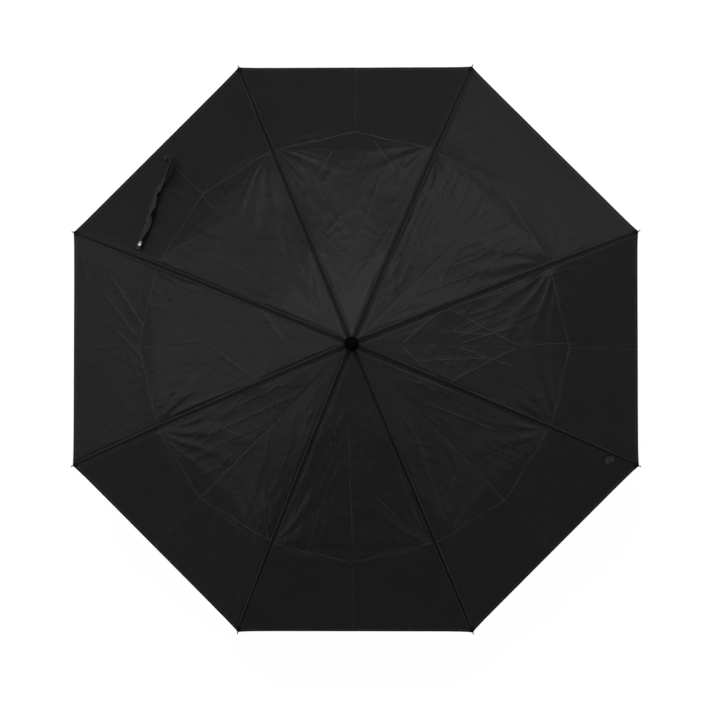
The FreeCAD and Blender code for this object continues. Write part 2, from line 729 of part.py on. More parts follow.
def middle_rib():
    top = "-knuckle_rise"
    bottom = f"{top} - middle_channel_depth"
    end = "middle_rib_length"
    second_up = "-knuckle_rise - knuckle_drop"
    second = (value_of(end), value_of(second_up))
    far, near = "side_plate_outer", "side_plate_inner"
    pieces = [
        cross_cylinder("first_eye", "eye_radius", f"-{far}", f"-{near}"),
        channel("middle_channel", "middle_channel_inset", f"{end} - middle_channel_inset",
                top, "middle_channel_depth"),
        block("first_plate", "first_plate_start", "first_plate_end", f"-{far}", f"-{near}",
              bottom, top),
        block("second_tongue", f"{end} - second_tongue_start", f"{end} - second_tongue_end",
              "-plate_half", "plate_half", f"{bottom} + channel_wall", top),
    ]
    pieces += rivet("second", f"-({RIVET_NEAR})", RIVET_FAR, end, second_up)
    first_bridge = (value_of("first_bridge_along"), -value_of("first_bridge_drop"))
    second_bridge = (second[0] - value_of("second_bridge_along"),
                     second[1] + value_of("second_bridge_up"))
    crank_end = moved(PIVOT, LINK_CRANK_ANGLE, value_of("link_crank"), 0.0)
    pieces += arm("first_bridge", PIVOT, first_bridge, "knuckle_arm_half", f"-{far}",
                  f"-{near}")
    pieces += arm("link_arm", PIVOT, crank_end, "crank_arm_half", f"-{far}", f"-{near}")
    pieces += arm("second_bridge", second_bridge, second, "knuckle_arm_half",
                  "-plate_half", "plate_half")
    middle = f"({far} + {near}) / 2"
    bar_outside = "bar_inner_face + bar_thickness + seat_gap"
    pin = crank_pin("link_pin", crank_end, f"-{middle}", f"{bar_outside} - {middle}",
                    towards=-1)
    head = crank_pin("link_pin_head", crank_end, f"-({bar_outside})", "small_head_thickness",
                     "2 * small_pin_radius", towards=-1)
    whole = fused("middle_rib_solid", pieces + [pin, head])
    hole = cross_cylinder("first_hole", "pin_radius + pin_gap", "-channel_width",
                          "channel_width")
    return cut("middle_rib", whole, hole)


def outer_rib():
    rise = "knuckle_drop - outer_rod_radius"
    end = "outer_rib_length"
    far, near = "side_plate_outer", "side_plate_inner"
    pieces = [
        cross_cylinder("second_eye", "eye_radius", near, far),
        block("rod_seat", "rod_seat_start", "rod_seat_end", "0", far,
              f"{rise} - rod_seat_half", f"{rise} + rod_seat_half"),
        long_cylinder("outer_rod", "outer_rod_radius", "rod_start", f"{end} - tip_length",
                      "0", rise),
        long_cylinder("rib_tip", "tip_radius", f"{end} - tip_length - tip_radius", end, "0",
                      rise),
    ]
    ball = ROOT.addObject("Part::Sphere", "tip_ball")
    bind(ball, Radius="tip_ball_radius")
    bind_base(ball, end, "0", rise)
    pieces.append(ball)
    seat_bridge = (value_of("seat_bridge_along"), value_of("seat_bridge_up"))
    crank_end = moved(PIVOT, OUTER_CRANK_ANGLE, value_of("outer_crank"), 0.0)
    pieces += arm("second_seat_bridge", PIVOT, seat_bridge, "crank_arm_half", near, far)
    pieces += arm("outer_crank_arm", PIVOT, crank_end, "crank_arm_half", near, far)
    middle = f"({far} + {near}) / 2"
    wire_outside = "wire_inner_face + 2 * wire_radius + seat_gap"
    pin = crank_pin("wire_pin", crank_end, middle, f"{wire_outside} - {middle}")
    head = crank_pin("wire_pin_head", crank_end, wire_outside, "small_head_thickness",
                     "2 * small_pin_radius")
    whole = fused("outer_rib_solid", pieces + [pin, head])
    hole = cross_cylinder("second_hole", "pin_radius + pin_gap", "-channel_width",
                          "channel_width")
    return cut("outer_rib", whole, hole)


def control_wire():
    low = "wire_inner_face + wire_eye_inset"
    high = "wire_inner_face + 2 * wire_radius - wire_eye_inset"
    solid = [
        long_cylinder("wire_rod", "wire_radius", "wire_radius",
                      "control_wire_length - wire_radius", "wire_inner_face + wire_radius"),
        cross_cylinder("wire_outer_eye", "head_radius", low, high),
        cross_cylinder("wire_inner_eye", "head_radius", low, high, "control_wire_length"),
        cross_cylinder("wire_rivet_head", "wire_radius + small_head_thickness", high,
                       f"{high} + small_head_thickness", "control_wire_length"),
    ]
    whole = fused("wire_solid", solid)
    hole = cross_cylinder("wire_hole", "small_pin_radius + pin_gap", "0",
                          "2 * wire_inner_face")
    return cut("control_wire", whole, hole)


# --- soft pieces --------------------------------------------------------------------------

def canopy_sections(lift):
    """Corner radius and level of the canopy's octagons, lift above its underside."""
    knuckle = value_of("knuckle_rise + knuckle_clearance")
    clear = value_of("fabric_clearance")
    over_second = value_of("knuckle_drop") + clear
    centre = (value_of("crown_panel_radius"), value_of("crown_top") + clear)
    first = moved(OPEN["first"], SLOPES["top"], 0.0, knuckle + lift)
    second = moved(OPEN["second"], SLOPES["middle"], 0.0, over_second + lift)
    tip = moved(OPEN["second"], SLOPES["outer"],
                value_of("outer_rib_length - hem_inset"), over_second + lift)
    return [(centre[0], centre[1] + lift), first, second, tip]


def canopy_solid(name, lift):
    sections = []
    for index, (radius, level) in enumerate(canopy_sections(lift)):
        outline = ROOT.addObject("Part::RegularPolygon", f"{name}_section_{index}")
        outline.Polygon = RIB_COUNT
        outline.Circumradius = radius
        outline.Placement = FreeCAD.Placement(
            FreeCAD.Vector(0, 0, value_of("crown_level") + level),
            FreeCAD.Rotation(FreeCAD.Vector(0, 0, 1), FIRST_RIB_AZIMUTH))
        sections.append(outline)
    skin = ROOT.addObject("Part::Loft", name)
    skin.Sections = sections
    skin.Solid = True
    skin.Ruled = True
    return skin


def canopy():
    """The eight-panel cover as one thin shell, with the hole for the ferrule's stud."""
    shell = cut("canopy_shell", canopy_solid("canopy_outside", value_of("fabric_thickness")),
                canopy_solid("canopy_inside", 0.0))
    hole = ROOT.addObject("Part::Cylinder", "canopy_hole")
    bind(hole, Radius="canopy_hole_radius", Height="2 * crown_panel_radius")
    bind_base(hole, "0", "0", "crown_level - crown_panel_radius")
    return cut("canopy", shell, hole)


STRAP_PANEL_AZIMUTH = 135.0
STRAP_START = (412.9, -4.2)
STRAP_END = (340.1, 126.6)


def strap_frame():
    """The frame of the strap: x along it, y across it, z off the panel it lies on."""
    sections = canopy_sections(value_of("fabric_thickness"))
    ratio = math.cos(math.radians(180.0 / RIB_COUNT))
    second, tip = sections[2], sections[3]
    fall = (tip[1] - second[1]) / ((tip[0] - second[0]) * ratio)

    def on_panel(out, across):
        level = second[1] + fall * (out - second[0] * ratio)
        return FreeCAD.Vector(out, across, value_of("crown_level") + level)

    start = on_panel(*STRAP_START)
    along = (on_panel(*STRAP_END) - start).normalize()
    normal = FreeCAD.Vector(-fall, 0, 1).normalize()
    across = normal.cross(along)
    turn = FreeCAD.Rotation(FreeCAD.Vector(0, 0, 1), STRAP_PANEL_AZIMUTH)
    tilt = FreeCAD.Rotation(along, across, normal, "ZXY")
    return FreeCAD.Placement(turn.multVec(start + normal), turn.multiply(tilt))


def closure_strap():
    strip = block("strap_strip", "0", "strap_length", "-strap_width / 2",
                  "strap_width / 2", "0", "strap_thickness")
    strap = ROOT.addObject("Part::Compound", "closure_strap")
    strap.Links = [strip]
    strap.Placement = strap_frame()
    return strap


def snap_button():
    snap = ROOT.addObject("Part::Cylinder", "snap_button")
    bind(snap, Radius="snap_radius", Height="snap_thickness")
    place = FreeCAD.Vector(value_of("strap_length - snap_inset"), 0,
                           value_of("strap_thickness + seat_gap"))
    snap.Placement = strap_frame().multiply(FreeCAD.Placement(place, FreeCAD.Rotation()))
    return snap


# --- assembly -----------------------------------------------------------------------------

def member_placement(index, pivot, slope):
    """Where a member of rib number index lies when the umbrella is open."""
    azimuth = FIRST_RIB_AZIMUTH + (index - 1) * 360.0 / RIB_COUNT
    turn = FreeCAD.Placement(FreeCAD.Vector(),
                             FreeCAD.Rotation(FreeCAD.Vector(0, 0, 1), azimuth))
    hang = FreeCAD.Placement(
        FreeCAD.Vector(pivot[0], 0, value_of("crown_level") + pivot[1]),
        FreeCAD.Rotation(FreeCAD.Vector(0, 1, 0), -slope))
    return turn.multiply(hang)


def direction(start, end):
    return math.degrees(math.atan2(OPEN[end][1] - OPEN[start][1],
                                   OPEN[end][0] - OPEN[start][0]))


def rib_members():
    """Each member's shape, its pivot and its slope when open."""
    return {
        "top_rib": (top_rib(), "crown", SLOPES["top"]),
        "stretcher": (stretcher(), "stretcher", SLOPES["stretcher"]),
        "link_bar": (link_bar(), "link_outer", direction("link_outer", "link_inner")),
        "middle_rib": (middle_rib(), "first", SLOPES["middle"]),
        "outer_rib": (outer_rib(), "second", SLOPES["outer"]),
        "control_wire": (control_wire(), "wire_outer",
                         direction("wire_outer", "wire_inner")),
    }


def placed_members():
    pieces = []
    for name, (shape, pivot, slope) in rib_members().items():
        for index in range(1, RIB_COUNT + 1):
            copy = ROOT.addObject("Part::Compound", f"{name}_{index}")
            copy.Links = [shape]
            copy.Placement = member_placement(index, OPEN[pivot], slope)
            pieces.append(copy)
    return pieces


def shaft_pieces():
    return [
        handle_grip(),
        handle_end_cap(),
        lower_tube(),
        shaft_tube("middle_tube", "middle_tube_radius", "middle_tube_bottom",
                   "middle_tube_top", "lower_tube_radius + slide_gap"),
        upper_tube(),
        crown_notch(),
        ferrule(),
        runner(),
        runner_catch(),
        canopy(),
        closure_strap(),
        snap_button(),
    ]


def check(pieces):
    """Stop if any feature failed or any sub-part has no sound solid."""
    for item in ROOT.Objects:
        if "Invalid" in item.State or "Error" in item.State:
            raise RuntimeError(f"{item.Name} is {item.State}")
    for item in pieces:
        shape = item.Shape
        if shape.isNull() or not shape.isValid() or not shape.Solids:
            raise RuntimeError(f"{item.Label} has no sound solid")


def main():
    fill_sheet()
    pieces = shaft_pieces() + placed_members()
    ROOT.recompute()
    check(pieces)
    os.makedirs("parts", exist_ok=True)
    for item in pieces:
        item.Shape.exportStep(os.path.join("parts", item.Label + ".step"))
        print(f"{item.Label}: {item.Shape.Volume:.1f} mm3, {len(item.Shape.Solids)} solid")


main()
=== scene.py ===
"""Looks of the folding umbrella: its cover, strap, thread, materials, light and camera.

The frame of ribs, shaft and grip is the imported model. Lengths are metres, in the frame's axes.
"""

import json
import math

import bmesh
import bpy
import numpy as np
from mathutils import Matrix, Vector


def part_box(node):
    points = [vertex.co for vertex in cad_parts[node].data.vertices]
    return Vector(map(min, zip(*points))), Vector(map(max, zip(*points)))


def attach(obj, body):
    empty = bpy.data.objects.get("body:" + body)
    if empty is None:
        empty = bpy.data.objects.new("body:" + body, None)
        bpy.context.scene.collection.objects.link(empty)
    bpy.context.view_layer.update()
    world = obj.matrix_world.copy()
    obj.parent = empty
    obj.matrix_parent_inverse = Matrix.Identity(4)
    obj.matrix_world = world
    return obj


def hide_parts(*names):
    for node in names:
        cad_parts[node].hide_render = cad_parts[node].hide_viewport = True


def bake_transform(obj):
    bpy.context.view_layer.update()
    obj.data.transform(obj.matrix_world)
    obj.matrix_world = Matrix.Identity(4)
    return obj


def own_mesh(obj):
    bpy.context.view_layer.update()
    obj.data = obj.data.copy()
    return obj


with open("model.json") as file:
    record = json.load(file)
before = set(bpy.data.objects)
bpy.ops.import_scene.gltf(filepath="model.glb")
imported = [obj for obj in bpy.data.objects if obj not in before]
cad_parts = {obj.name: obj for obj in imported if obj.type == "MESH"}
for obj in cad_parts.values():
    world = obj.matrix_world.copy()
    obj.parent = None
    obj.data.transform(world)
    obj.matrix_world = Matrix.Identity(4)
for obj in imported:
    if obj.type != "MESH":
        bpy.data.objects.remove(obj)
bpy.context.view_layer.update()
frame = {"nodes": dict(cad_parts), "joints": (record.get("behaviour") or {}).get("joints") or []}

MM = 0.001
RIBS = 8
HALF_GORE = math.pi / RIBS
FACET = math.tan(HALF_GORE)
JOINTS = {joint["name"]: joint for joint in frame["joints"]}
SIDES = {"left": 1, "right": -1}


# --- places from the frame

def joint_point(name):
    """Radius and level of a hinge at rest."""
    x, y, z = JOINTS[name]["pos_m"]
    return math.hypot(x, y), z


CROWN = joint_point("canopy_fold")
FIRST = joint_point("middle_rib_1_fold")
SECOND = joint_point("outer_rib_1_fold")
FIRST_AZIMUTH = math.atan2(JOINTS["canopy_fold"]["pos_m"][1], JOINTS["canopy_fold"]["pos_m"][0])
TIP_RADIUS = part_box("outer_rib_1")[1].x / math.cos(FIRST_AZIMUTH)
TIP_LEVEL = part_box("outer_rib_1")[0].z

SLOPES = {
    "top": math.atan2(CROWN[1] - 0.6 * MM - FIRST[1], FIRST[0] - CROWN[0]),
    "middle": math.radians(20.0),
    "outer": math.radians(34.0),
}


def azimuth(rib):
    return FIRST_AZIMUTH + 2 * HALF_GORE * (rib - 1)


def rib_axes(angle):
    """Unit vectors out along an azimuth and across it."""
    return (np.array((math.cos(angle), math.sin(angle), 0.0)),
            np.array((-math.sin(angle), math.cos(angle), 0.0)))


# --- seeded noise

def lattice(ix, iy, seed):
    """A repeatable value from 0 to 1 at each whole-number point."""
    h = (ix * 374761393 + iy * 668265263 + seed * 974634777) & 0x7FFFFFFF
    h = ((h ^ (h >> 13)) * 1274126177) & 0x7FFFFFFF
    return ((h ^ (h >> 16)) & 0xFFFF) / 65535.0


def noise(x, y, seed):
    """Smooth value noise from -1 to 1."""
    ix, iy = np.floor(x).astype(np.int64), np.floor(y).astype(np.int64)
    fx, fy = x - ix, y - iy
    fx, fy = fx ** 3 * (fx * (6 * fx - 15) + 10), fy ** 3 * (fy * (6 * fy - 15) + 10)
    low = lattice(ix, iy, seed) * (1 - fx) + lattice(ix + 1, iy, seed) * fx
    high = lattice(ix, iy + 1, seed) * (1 - fx) + lattice(ix + 1, iy + 1, seed) * fx
    return 2 * (low * (1 - fy) + high * fy) - 1


def step(x, low, high):
    t = np.clip((x - low) / (high - low), 0, 1)
    return t * t * (3 - 2 * t)


def lower_of(a, b, ease):
    return 0.5 * (a + b - np.sqrt((a - b) ** 2 + 4 * ease * ease))


def upper_of(a, b, ease):
    return -lower_of(-a, -b, ease)


# --- the cover's shape

CLOTH = 0.45 * MM
CROWN_FLAT = 12.5 * MM
CROWN_LEVEL = CROWN[1] + 5.1 * MM
FIRST_TOP = (FIRST[0] + 0.5 * MM, FIRST[1] + 2.3 * MM)
MIDDLE_LIFT = -0.65 * MM
OUTER_LIFT = 4.8 * MM
MIDDLE_FALL = math.tan(SLOPES["middle"])
OUTER_FALL = math.tan(SLOPES["outer"])
INNER_SAG, MIDDLE_SWELL, OUTER_SWELL = 1.0 * MM, 2.2 * MM, 2.0 * MM
SHOULDER = 4.2 * MM
BUMP_END = 202.0 * MM
HEM_RADIUS = TIP_RADIUS - 5.8 * MM
HEM_WIDTH = 5.0 * MM
CORNER_DRAW, CORNER_REACH = 1.8 * MM, 14 * MM


def hem_line(y):
    """Radial place of the hem at a distance y from a rib: straight, and drawn out to a point at the tip."""
    return HEM_RADIUS - FACET * y + CORNER_DRAW * np.exp(-y / CORNER_REACH)


def seam_half(x):
    """Half-width of the felled seam over a rib: it narrows from the crown to the tip."""
    return (4.4 - 0.5 * step(x, 20 * MM, 230 * MM) - 0.7 * step(x, 300 * MM, HEM_RADIUS)) * MM


def hump(x, start, end):
    """A low arch, 0 at both ends and 1 halfway."""
    t = np.clip((x - start) / (end - start), 0, 1)
    return 4 * t * (1 - t)


def shoulder(ring, y):
    """The rise of the loose cloth just inside the ring of second joints, and its drop beyond that ring."""
    rise = step(ring, SECOND[0] - 95 * MM, SECOND[0] - 5 * MM)
    fall = 1 - step(ring, SECOND[0] - 3 * MM, SECOND[0] + 26 * MM)
    beside_rib = (1 - np.exp(-(y / (13 * MM)) ** 2)) * (0.5 + 0.5 * np.exp(-(y / (62 * MM)) ** 2))
    return SHOULDER * rise * fall * beside_rib


def smooth_cover(x, y):
    """Level of the tight cover in a rib's own frame, y from the rib toward the middle of the gore."""
    rounded = np.hypot(y, 1.8 * MM) - 1.8 * MM
    ring = x + FACET * rounded
    share = np.clip(y / (FACET * np.maximum(x, 1e-4)), 0, 1)
    inner_fall = (CROWN_LEVEL - FIRST_TOP[1]) / (FIRST_TOP[0] - CROWN_FLAT)
    inner = CROWN_LEVEL - inner_fall * (ring - CROWN_FLAT)
    middle = FIRST[1] + MIDDLE_LIFT - MIDDLE_FALL * (ring - FIRST[0])
    bump_low = FIRST[1] + MIDDLE_LIFT - MIDDLE_FALL * (BUMP_END - FIRST[0])
    bump_fall = (FIRST_TOP[1] - bump_low) / (BUMP_END - FIRST_TOP[0])
    bump = FIRST_TOP[1] - bump_fall * (ring - FIRST_TOP[0])
    middle = middle + (upper_of(bump, middle, 0.3 * MM) - middle) * np.exp(-(y / (26 * MM)) ** 2)
    outer = SECOND[1] + OUTER_LIFT - OUTER_FALL * (ring - SECOND[0])
    off_rib = 1 - np.exp(-(y / (24 * MM)) ** 2)
    level = lower_of(inner, middle, 0.3 * MM + 3.2 * MM * off_rib) + 2.6 * MM * off_rib
    level = lower_of(level, outer + 1.6 * MM * off_rib, 0.4 * MM + 0.3 * MM * off_rib)
    level = lower_of(level, CROWN_LEVEL + 0 * level, 0.3 * MM)
    slack = np.sin(0.5 * math.pi * share) ** 2
    swell = (MIDDLE_SWELL * hump(ring, FIRST[0], SECOND[0]) + OUTER_SWELL * hump(ring, SECOND[0], HEM_RADIUS)
             - INNER_SAG * hump(ring, 20 * MM, FIRST[0]))
    return level + swell * slack + shoulder(ring, y)


def spokes(x, y, centre, reach, count, height, seed):
    """Short pull wrinkles that run out from a joint under the cover."""
    along, distance = np.arctan2(y, x - centre), np.hypot(x - centre, y)
    wave = np.zeros_like(distance)
    for turn in range(3):
        phase = 6.283 * lattice(seed, np.int64(turn), 31)
        crest = 0.5 + 0.5 * np.cos(along * (count + 3.7 * turn) + phase + 0.8 * np.sin(distance / (21 * MM)))
        wave = wave + crest ** 2 * (0.4 + lattice(seed, np.int64(turn), 77))
    fade = np.exp(-distance / reach) * step(distance, 12 * MM, 58 * MM)
    return height * wave * fade


# Fold lines left by storage, listed in a panel's own frame, in mm: start and end as (out, across),
# crest height, half-width, and whether the line is mirrored about the panel's middle.
COMMON_CREASES = (
    ((331, 0), (301, 122), 0.48, 1.3, True),
    ((331, 0), (441, 0), 0.30, 1.3, False),
)
PANEL_CREASES = {
    0: (((248, 3), (143, 58), 0.8, 1.6, True), ((78, 4), (143, 58), 0.6, 1.5, True),
        ((110, 22), (205, 18), 0.5, 1.4, True), ((248, 3), (340, 6), 0.5, 1.6, False),
        ((143, 58), (232, 84), 0.5, 1.5, True), ((165, 4), (246, 30), 0.5, 1.4, True)),
    45: (((200, 2), (330, 0), 0.6, 1.6, False), ((150, -30), (262, 6), 0.4, 1.5, False),
         ((214, 52), (300, 96), 0.5, 1.5, False)),
    90: (((262, -66), (316, -30), 0.5, 1.6, False), ((250, 60), (300, 34), 0.5, 1.6, False),
         ((180, 14), (262, 42), 0.4, 1.5, True)),
    135: (((302, 4), (330, 2), 0.4, 1.6, False), ((150, 20), (244, 52), 0.3, 1.5, False)),
    180: (((229, -7), (144, 56), 0.75, 1.6, True), ((92, -9), (144, 56), 0.7, 1.5, True),
          ((229, -7), (324, 4), 0.5, 1.6, False), ((378, -110), (324, -32), 1.3, 2.0, False),
          ((395, -92), (338, -20), 0.8, 1.8, False), ((366, -24), (324, 18), 1.1, 1.8, False),
          ((144, 56), (250, 92), 0.5, 1.5, True)),
    225: (((190, 2), (330, 0), 0.6, 1.6, False), ((150, -18), (250, -58), 0.5, 1.5, False)),
    270: (((225, 30), (262, 70), 0.3, 1.6, False), ((120, -4), (330, 2), 0.3, 1.5, False)),
    315: (((180, 0), (330, -2), 0.6, 1.6, False), ((140, 16), (236, 60), 0.5, 1.5, True)),
}
PANELS = tuple(PANEL_CREASES)
STRAY_CREASES = 3


def stray_creases(angle):
    """A few short faint fold lines at repeatable places in a panel's middle zone."""
    lines = []
    for k in range(STRAY_CREASES):
        a, b, c, d = (lattice(np.int64(angle), np.int64(k), seed) for seed in (201, 202, 203, 204))
        out, across = 105 + 165 * a, (2 * b - 1) * (30 + 60 * a)
        turn, length = 1.1 * (2 * c - 1) + math.copysign(0.35, across), 40 + 50 * d
        lines.append(((out, across), (out + length * math.cos(turn), across + length * math.sin(turn)),
                      0.18 + 0.16 * d, 1.4, False))
    return tuple(lines)


def creases(angle):
    return COMMON_CREASES + PANEL_CREASES[angle] + stray_creases(angle)


def crease_line(start, end):
    """Start, unit vector and length of a fold line, in metres."""
    a, b = np.array(start) * MM, np.array(end) * MM
    length = math.hypot(*(b - a))
    return a, (b - a) / length, length


def folds(px, py):
    """Crest height of the storage folds."""
    total = np.zeros_like(px)
    for angle in PANELS:
        out, across = rib_axes(math.radians(angle))
        u = px * out[0] + py * out[1]
        v = px * across[0] + py * across[1]
        for start, end, height, width, mirrored in creases(angle):
            origin, run, length = crease_line(start, end)
            aside = np.abs(v) if mirrored else v
            t = (u - origin[0]) * run[0] + (aside - origin[1]) * run[1]
            off = (aside - origin[1]) * run[0] - (u - origin[0]) * run[1]
            off = off + 0.6 * MM * noise(t / (40 * MM), 0 * t + height, angle + 7)
            soft = np.hypot(off, 0.35 * MM) - 0.35 * MM
            ends = step(t, 0, 0.2 * length) * step(-t, -length, -0.8 * length)
            total = total + height * MM * np.exp(-soft / (width * MM)) * ends
    return total


def rib_frame(px, py):
    """Rib number from 0, distance out along it and signed distance across it, for each point."""
    angle = np.arctan2(py, px) - FIRST_AZIMUTH
    number = np.round(angle / (2 * HALF_GORE)).astype(np.int64)
    local = angle - number * 2 * HALF_GORE
    radius = np.hypot(px, py)
    return number % RIBS, radius * np.cos(local), radius * np.sin(local)


# Pull wrinkles along a rib: the radius that they run out from, their reach in mm, count, height in mm and
# seed. The second and third lie on the inner and the outer side of the second joint.
PULLS = ((FIRST[0], 48, 15, 0.7, 0), (SECOND[0] + 4 * MM, 64, 14, 2.6, 40), (SECOND[0], 40, 13, 0.9, 60),
         (HEM_RADIUS - 6 * MM, 44, 19, 0.7, 80), (10 * MM, 46, 15, 0.5, 120))


def pull_wrinkles(x, y, seed):
    inner_side = step(SECOND[0] - x, -4 * MM, 10 * MM)
    total = 0
    for (centre, reach, count, height, shift), share in zip(PULLS, (1, inner_side, 1 - inner_side, 1, 1)):
        total = total + spokes(x, y, centre, reach * MM, count, height * MM, seed + shift) * share
    return total


def crumples(px, py, x, y, seed):
    """The loose cloth's uneven surface: broad waves, crumpled ridges and streaks along the ribs."""
    wander = 14 * MM * noise(px / (60 * MM), py / (60 * MM), 5)
    crumple = 1 - np.abs(noise((px + wander) / (58 * MM), (py - wander) / (41 * MM), 11))
    fine = 1 - np.abs(noise((px - wander) / (21 * MM), (py + wander) / (16 * MM), 12))
    streak = 1 - np.abs(noise(x / (70 * MM) + 7 * seed, y / (11 * MM), 17))
    streak = streak * step(FACET * x - y, 0, 14 * MM)
    broad = noise(px / (82 * MM), py / (82 * MM), 13)
    loose = step(x, 30 * MM, 120 * MM) * (1 - 0.55 * step(x, SECOND[0], SECOND[0] + 30 * MM))
    ridges = 0.45 * MM * crumple ** 3 + 0.3 * MM * fine ** 4 + 0.8 * MM * streak ** 4
    return (ridges + 1.7 * MM * broad) * loose


def sewn_edges(x, signed):
    """How far inside the hem, the rise of hem and seams, and the gutter beside a seam's two edges."""
    y = np.abs(signed)
    inward = (hem_line(y) - x) * math.cos(HALF_GORE)
    hem_band = 0.30 * MM * step(-inward, -HEM_WIDTH - 0.5 * MM, -HEM_WIDTH + 0.5 * MM)
    edge = seam_half(x)
    seam_band = 0.36 * MM * step(-y, -edge - 0.4 * MM, -edge + 0.4 * MM) * step(x, 12 * MM, 18 * MM)
    depth = np.where(signed < 0, 1.0, 0.35) * MM
    gutter = -depth * np.exp(-((y - edge - 1.1 * MM) / (1.3 * MM)) ** 2) * step(x, 14 * MM, 30 * MM)
    return inward, hem_band, seam_band, gutter


def cover_level(px, py):
    """Level of the cover's top face, wrinkles and seams included."""
    number, x, signed = rib_frame(px, py)
    y = np.abs(signed)
    seed = number * 2 + (signed > 0).astype(np.int64)
    clear = step(y, 2.5 * MM, 9 * MM)
    near_middle = step(FACET * x - y, 0, 5 * MM)
    pucker = (0.10 * MM * np.exp(-((y - 4.5 * MM) / (3.5 * MM)) ** 2)
              * np.sin(x / (1.15 * MM) + 3 * noise(x / (14 * MM), 0 * x, 21)))
    inward, hem_band, seam_band, gutter = sewn_edges(x, signed)
    hem_ripple = 0.35 * MM * np.exp(-inward / (14 * MM)) * noise(signed / (13 * MM) + 9 * number, 0 * x, 23)
    level = (smooth_cover(x, y) + (pull_wrinkles(x, y, seed) * near_middle + pucker) * clear
             + (crumples(px, py, x, y, seed) + folds(px, py)) * clear)
    return level + hem_ripple * clear + hem_band + seam_band + gutter


def cover_normals(px, py):
    h = 0.5 * MM
    dx = (cover_level(px + h, py) - cover_level(px - h, py)) / (2 * h)
    dy = (cover_level(px, py + h) - cover_level(px, py - h)) / (2 * h)
    normals = np.stack((-dx, -dy, np.ones_like(dx)), axis=-1)
    return normals / np.linalg.norm(normals, axis=-1, keepdims=True)


# --- materials

class Graph:
    """A node tree, with calls that add the nodes for one step and give back their output."""

    def __init__(self, tree):
        self.nodes, self.links = tree.nodes, tree.links

    def feed(self, socket, value):
        """Gives a socket another node's output or a plain value."""
        if isinstance(value, bpy.types.NodeSocket):
            self.links.new(value, socket)
        else:
            socket.default_value = value

    def add(self, kind, inputs=None, **settings):
        """A new node with its settings made and its inputs fed."""
        node = self.nodes.new("ShaderNode" + kind)
        for name, value in settings.items():
            setattr(node, name, value)
        for name, value in (inputs or {}).items():
            self.feed(node.inputs[name], value)
        return node

    def math(self, operation, *values):
        return self.add("Math", dict(enumerate(values)), operation=operation).outputs[0]

    def seen(self):
        """1 for the camera's rays, reflections and transmission, 0 for the rays that light surfaces."""
        path = self.add("LightPath").outputs
        bounced = self.math("MAXIMUM", path["Is Glossy Ray"], path["Is Transmission Ray"])
        return self.math("MAXIMUM", path["Is Camera Ray"], bounced)

    def show(self, share, first, second, end):
        """Sends a mix of two shaders, share of it the second, to an output node."""
        mix = self.add("MixShader", {0: share, 1: first.outputs[0], 2: second.outputs[0]})
        self.links.new(mix.outputs[0], self.nodes[end].inputs["Surface"])


class Paint(Graph):
    """The node tree of a new material."""

    def __init__(self, name):
        self.material = bpy.data.materials.new(name)
        self.material.use_nodes = True
        super().__init__(self.material.node_tree)
        self.shader = self.nodes["Principled BSDF"]

    def place(self):
        return self.add("TexCoord").outputs["Object"]

    def noise(self, place, scale, detail, stretch=None):
        if stretch is not None:
            place = self.add("Mapping", {"Scale": stretch, "Vector": place}).outputs[0]
        return self.add("TexNoise", {"Scale": scale, "Detail": detail, "Vector": place}).outputs["Fac"]

    def ramp(self, factor, low, high, low_color, high_color):
        node = self.add("ValToRGB", {"Fac": factor})
        for element, position, color in zip(node.color_ramp.elements, (low, high), (low_color, high_color)):
            element.position = position
            element.color = (*color, 1)
        return node.outputs["Color"]

    def spread(self, value, low, high):
        """A value from 0 to 1 spread from low to high."""
        return self.add("MapRange", {"To Min": low, "To Max": high, "Value": value}).outputs["Result"]

    def mix(self, factor, color, other):
        """A colour mixed toward a plain one."""
        inputs = {"Factor": factor, "A": color, "B": (*other, 1)}
        return self.add("Mix", inputs, data_type="RGBA").outputs["Result"]

    def bump(self, height, distance, strength, before=None):
        inputs = {"Height": height, "Distance": distance, "Strength": strength}
        if before is not None:
            inputs["Normal"] = before
        return self.add("Bump", inputs).outputs["Normal"]

    def finish(self, color, roughness, normal, specular=0.5):
        """Gives the surface its finish and gives back the material."""
        finish = {"Base Color": color, "Roughness": roughness, "Normal": normal,
                  "Specular IOR Level": specular}
        for name, value in finish.items():
            self.feed(self.shader.inputs[name], value)
        return self.material


LINE_HALF = 0.95 * MM
# The crest height, in mm, of a fold whose line has its full painted highlight.
FULL_LINE_HEIGHT = 0.8
WEAVE_PITCH = 0.42 * MM


def line_measures(paint, place, start, end):
    """Whether each spot is beside a fold line, and how far from it, as two outputs."""
    origin, run, length = crease_line(start, end)
    measures = []
    for direction in (run, (-run[1], run[0])):
        dot = paint.add("VectorMath", {0: place, 1: (*direction, 0.0)}, operation="DOT_PRODUCT")
        measures.append((dot.outputs["Value"], float(np.dot(origin, direction))))
    (along, along_start), (off, off_start) = measures
    beside = paint.math("COMPARE", along, along_start + length / 2, length / 2)
    return beside, paint.math("ABSOLUTE", paint.math("SUBTRACT", off, off_start))


def fold_lines(paint, place, lines):
    """How far each spot lies on a fold line: 1 on it, 0 off it. The place is (out, across) in metres."""
    split = paint.add("SeparateXYZ", {0: place}).outputs
    mirror = paint.add("CombineXYZ", {0: split[0], 1: paint.math("ABSOLUTE", split[1])}).outputs[0]
    total = None
    for start, end, height, _, mirrored in lines:
        beside, away = line_measures(paint, mirror if mirrored else place, start, end)
        peak = min(1.0, height / FULL_LINE_HEIGHT)
        near = paint.add("MapRange", {"From Max": LINE_HALF, "To Min": peak, "To Max": 0.0, "Value": away})
        mark = paint.math("MULTIPLY", near.outputs["Result"], beside)
        total = mark if total is None else paint.math("MAXIMUM", total, mark)
    return total


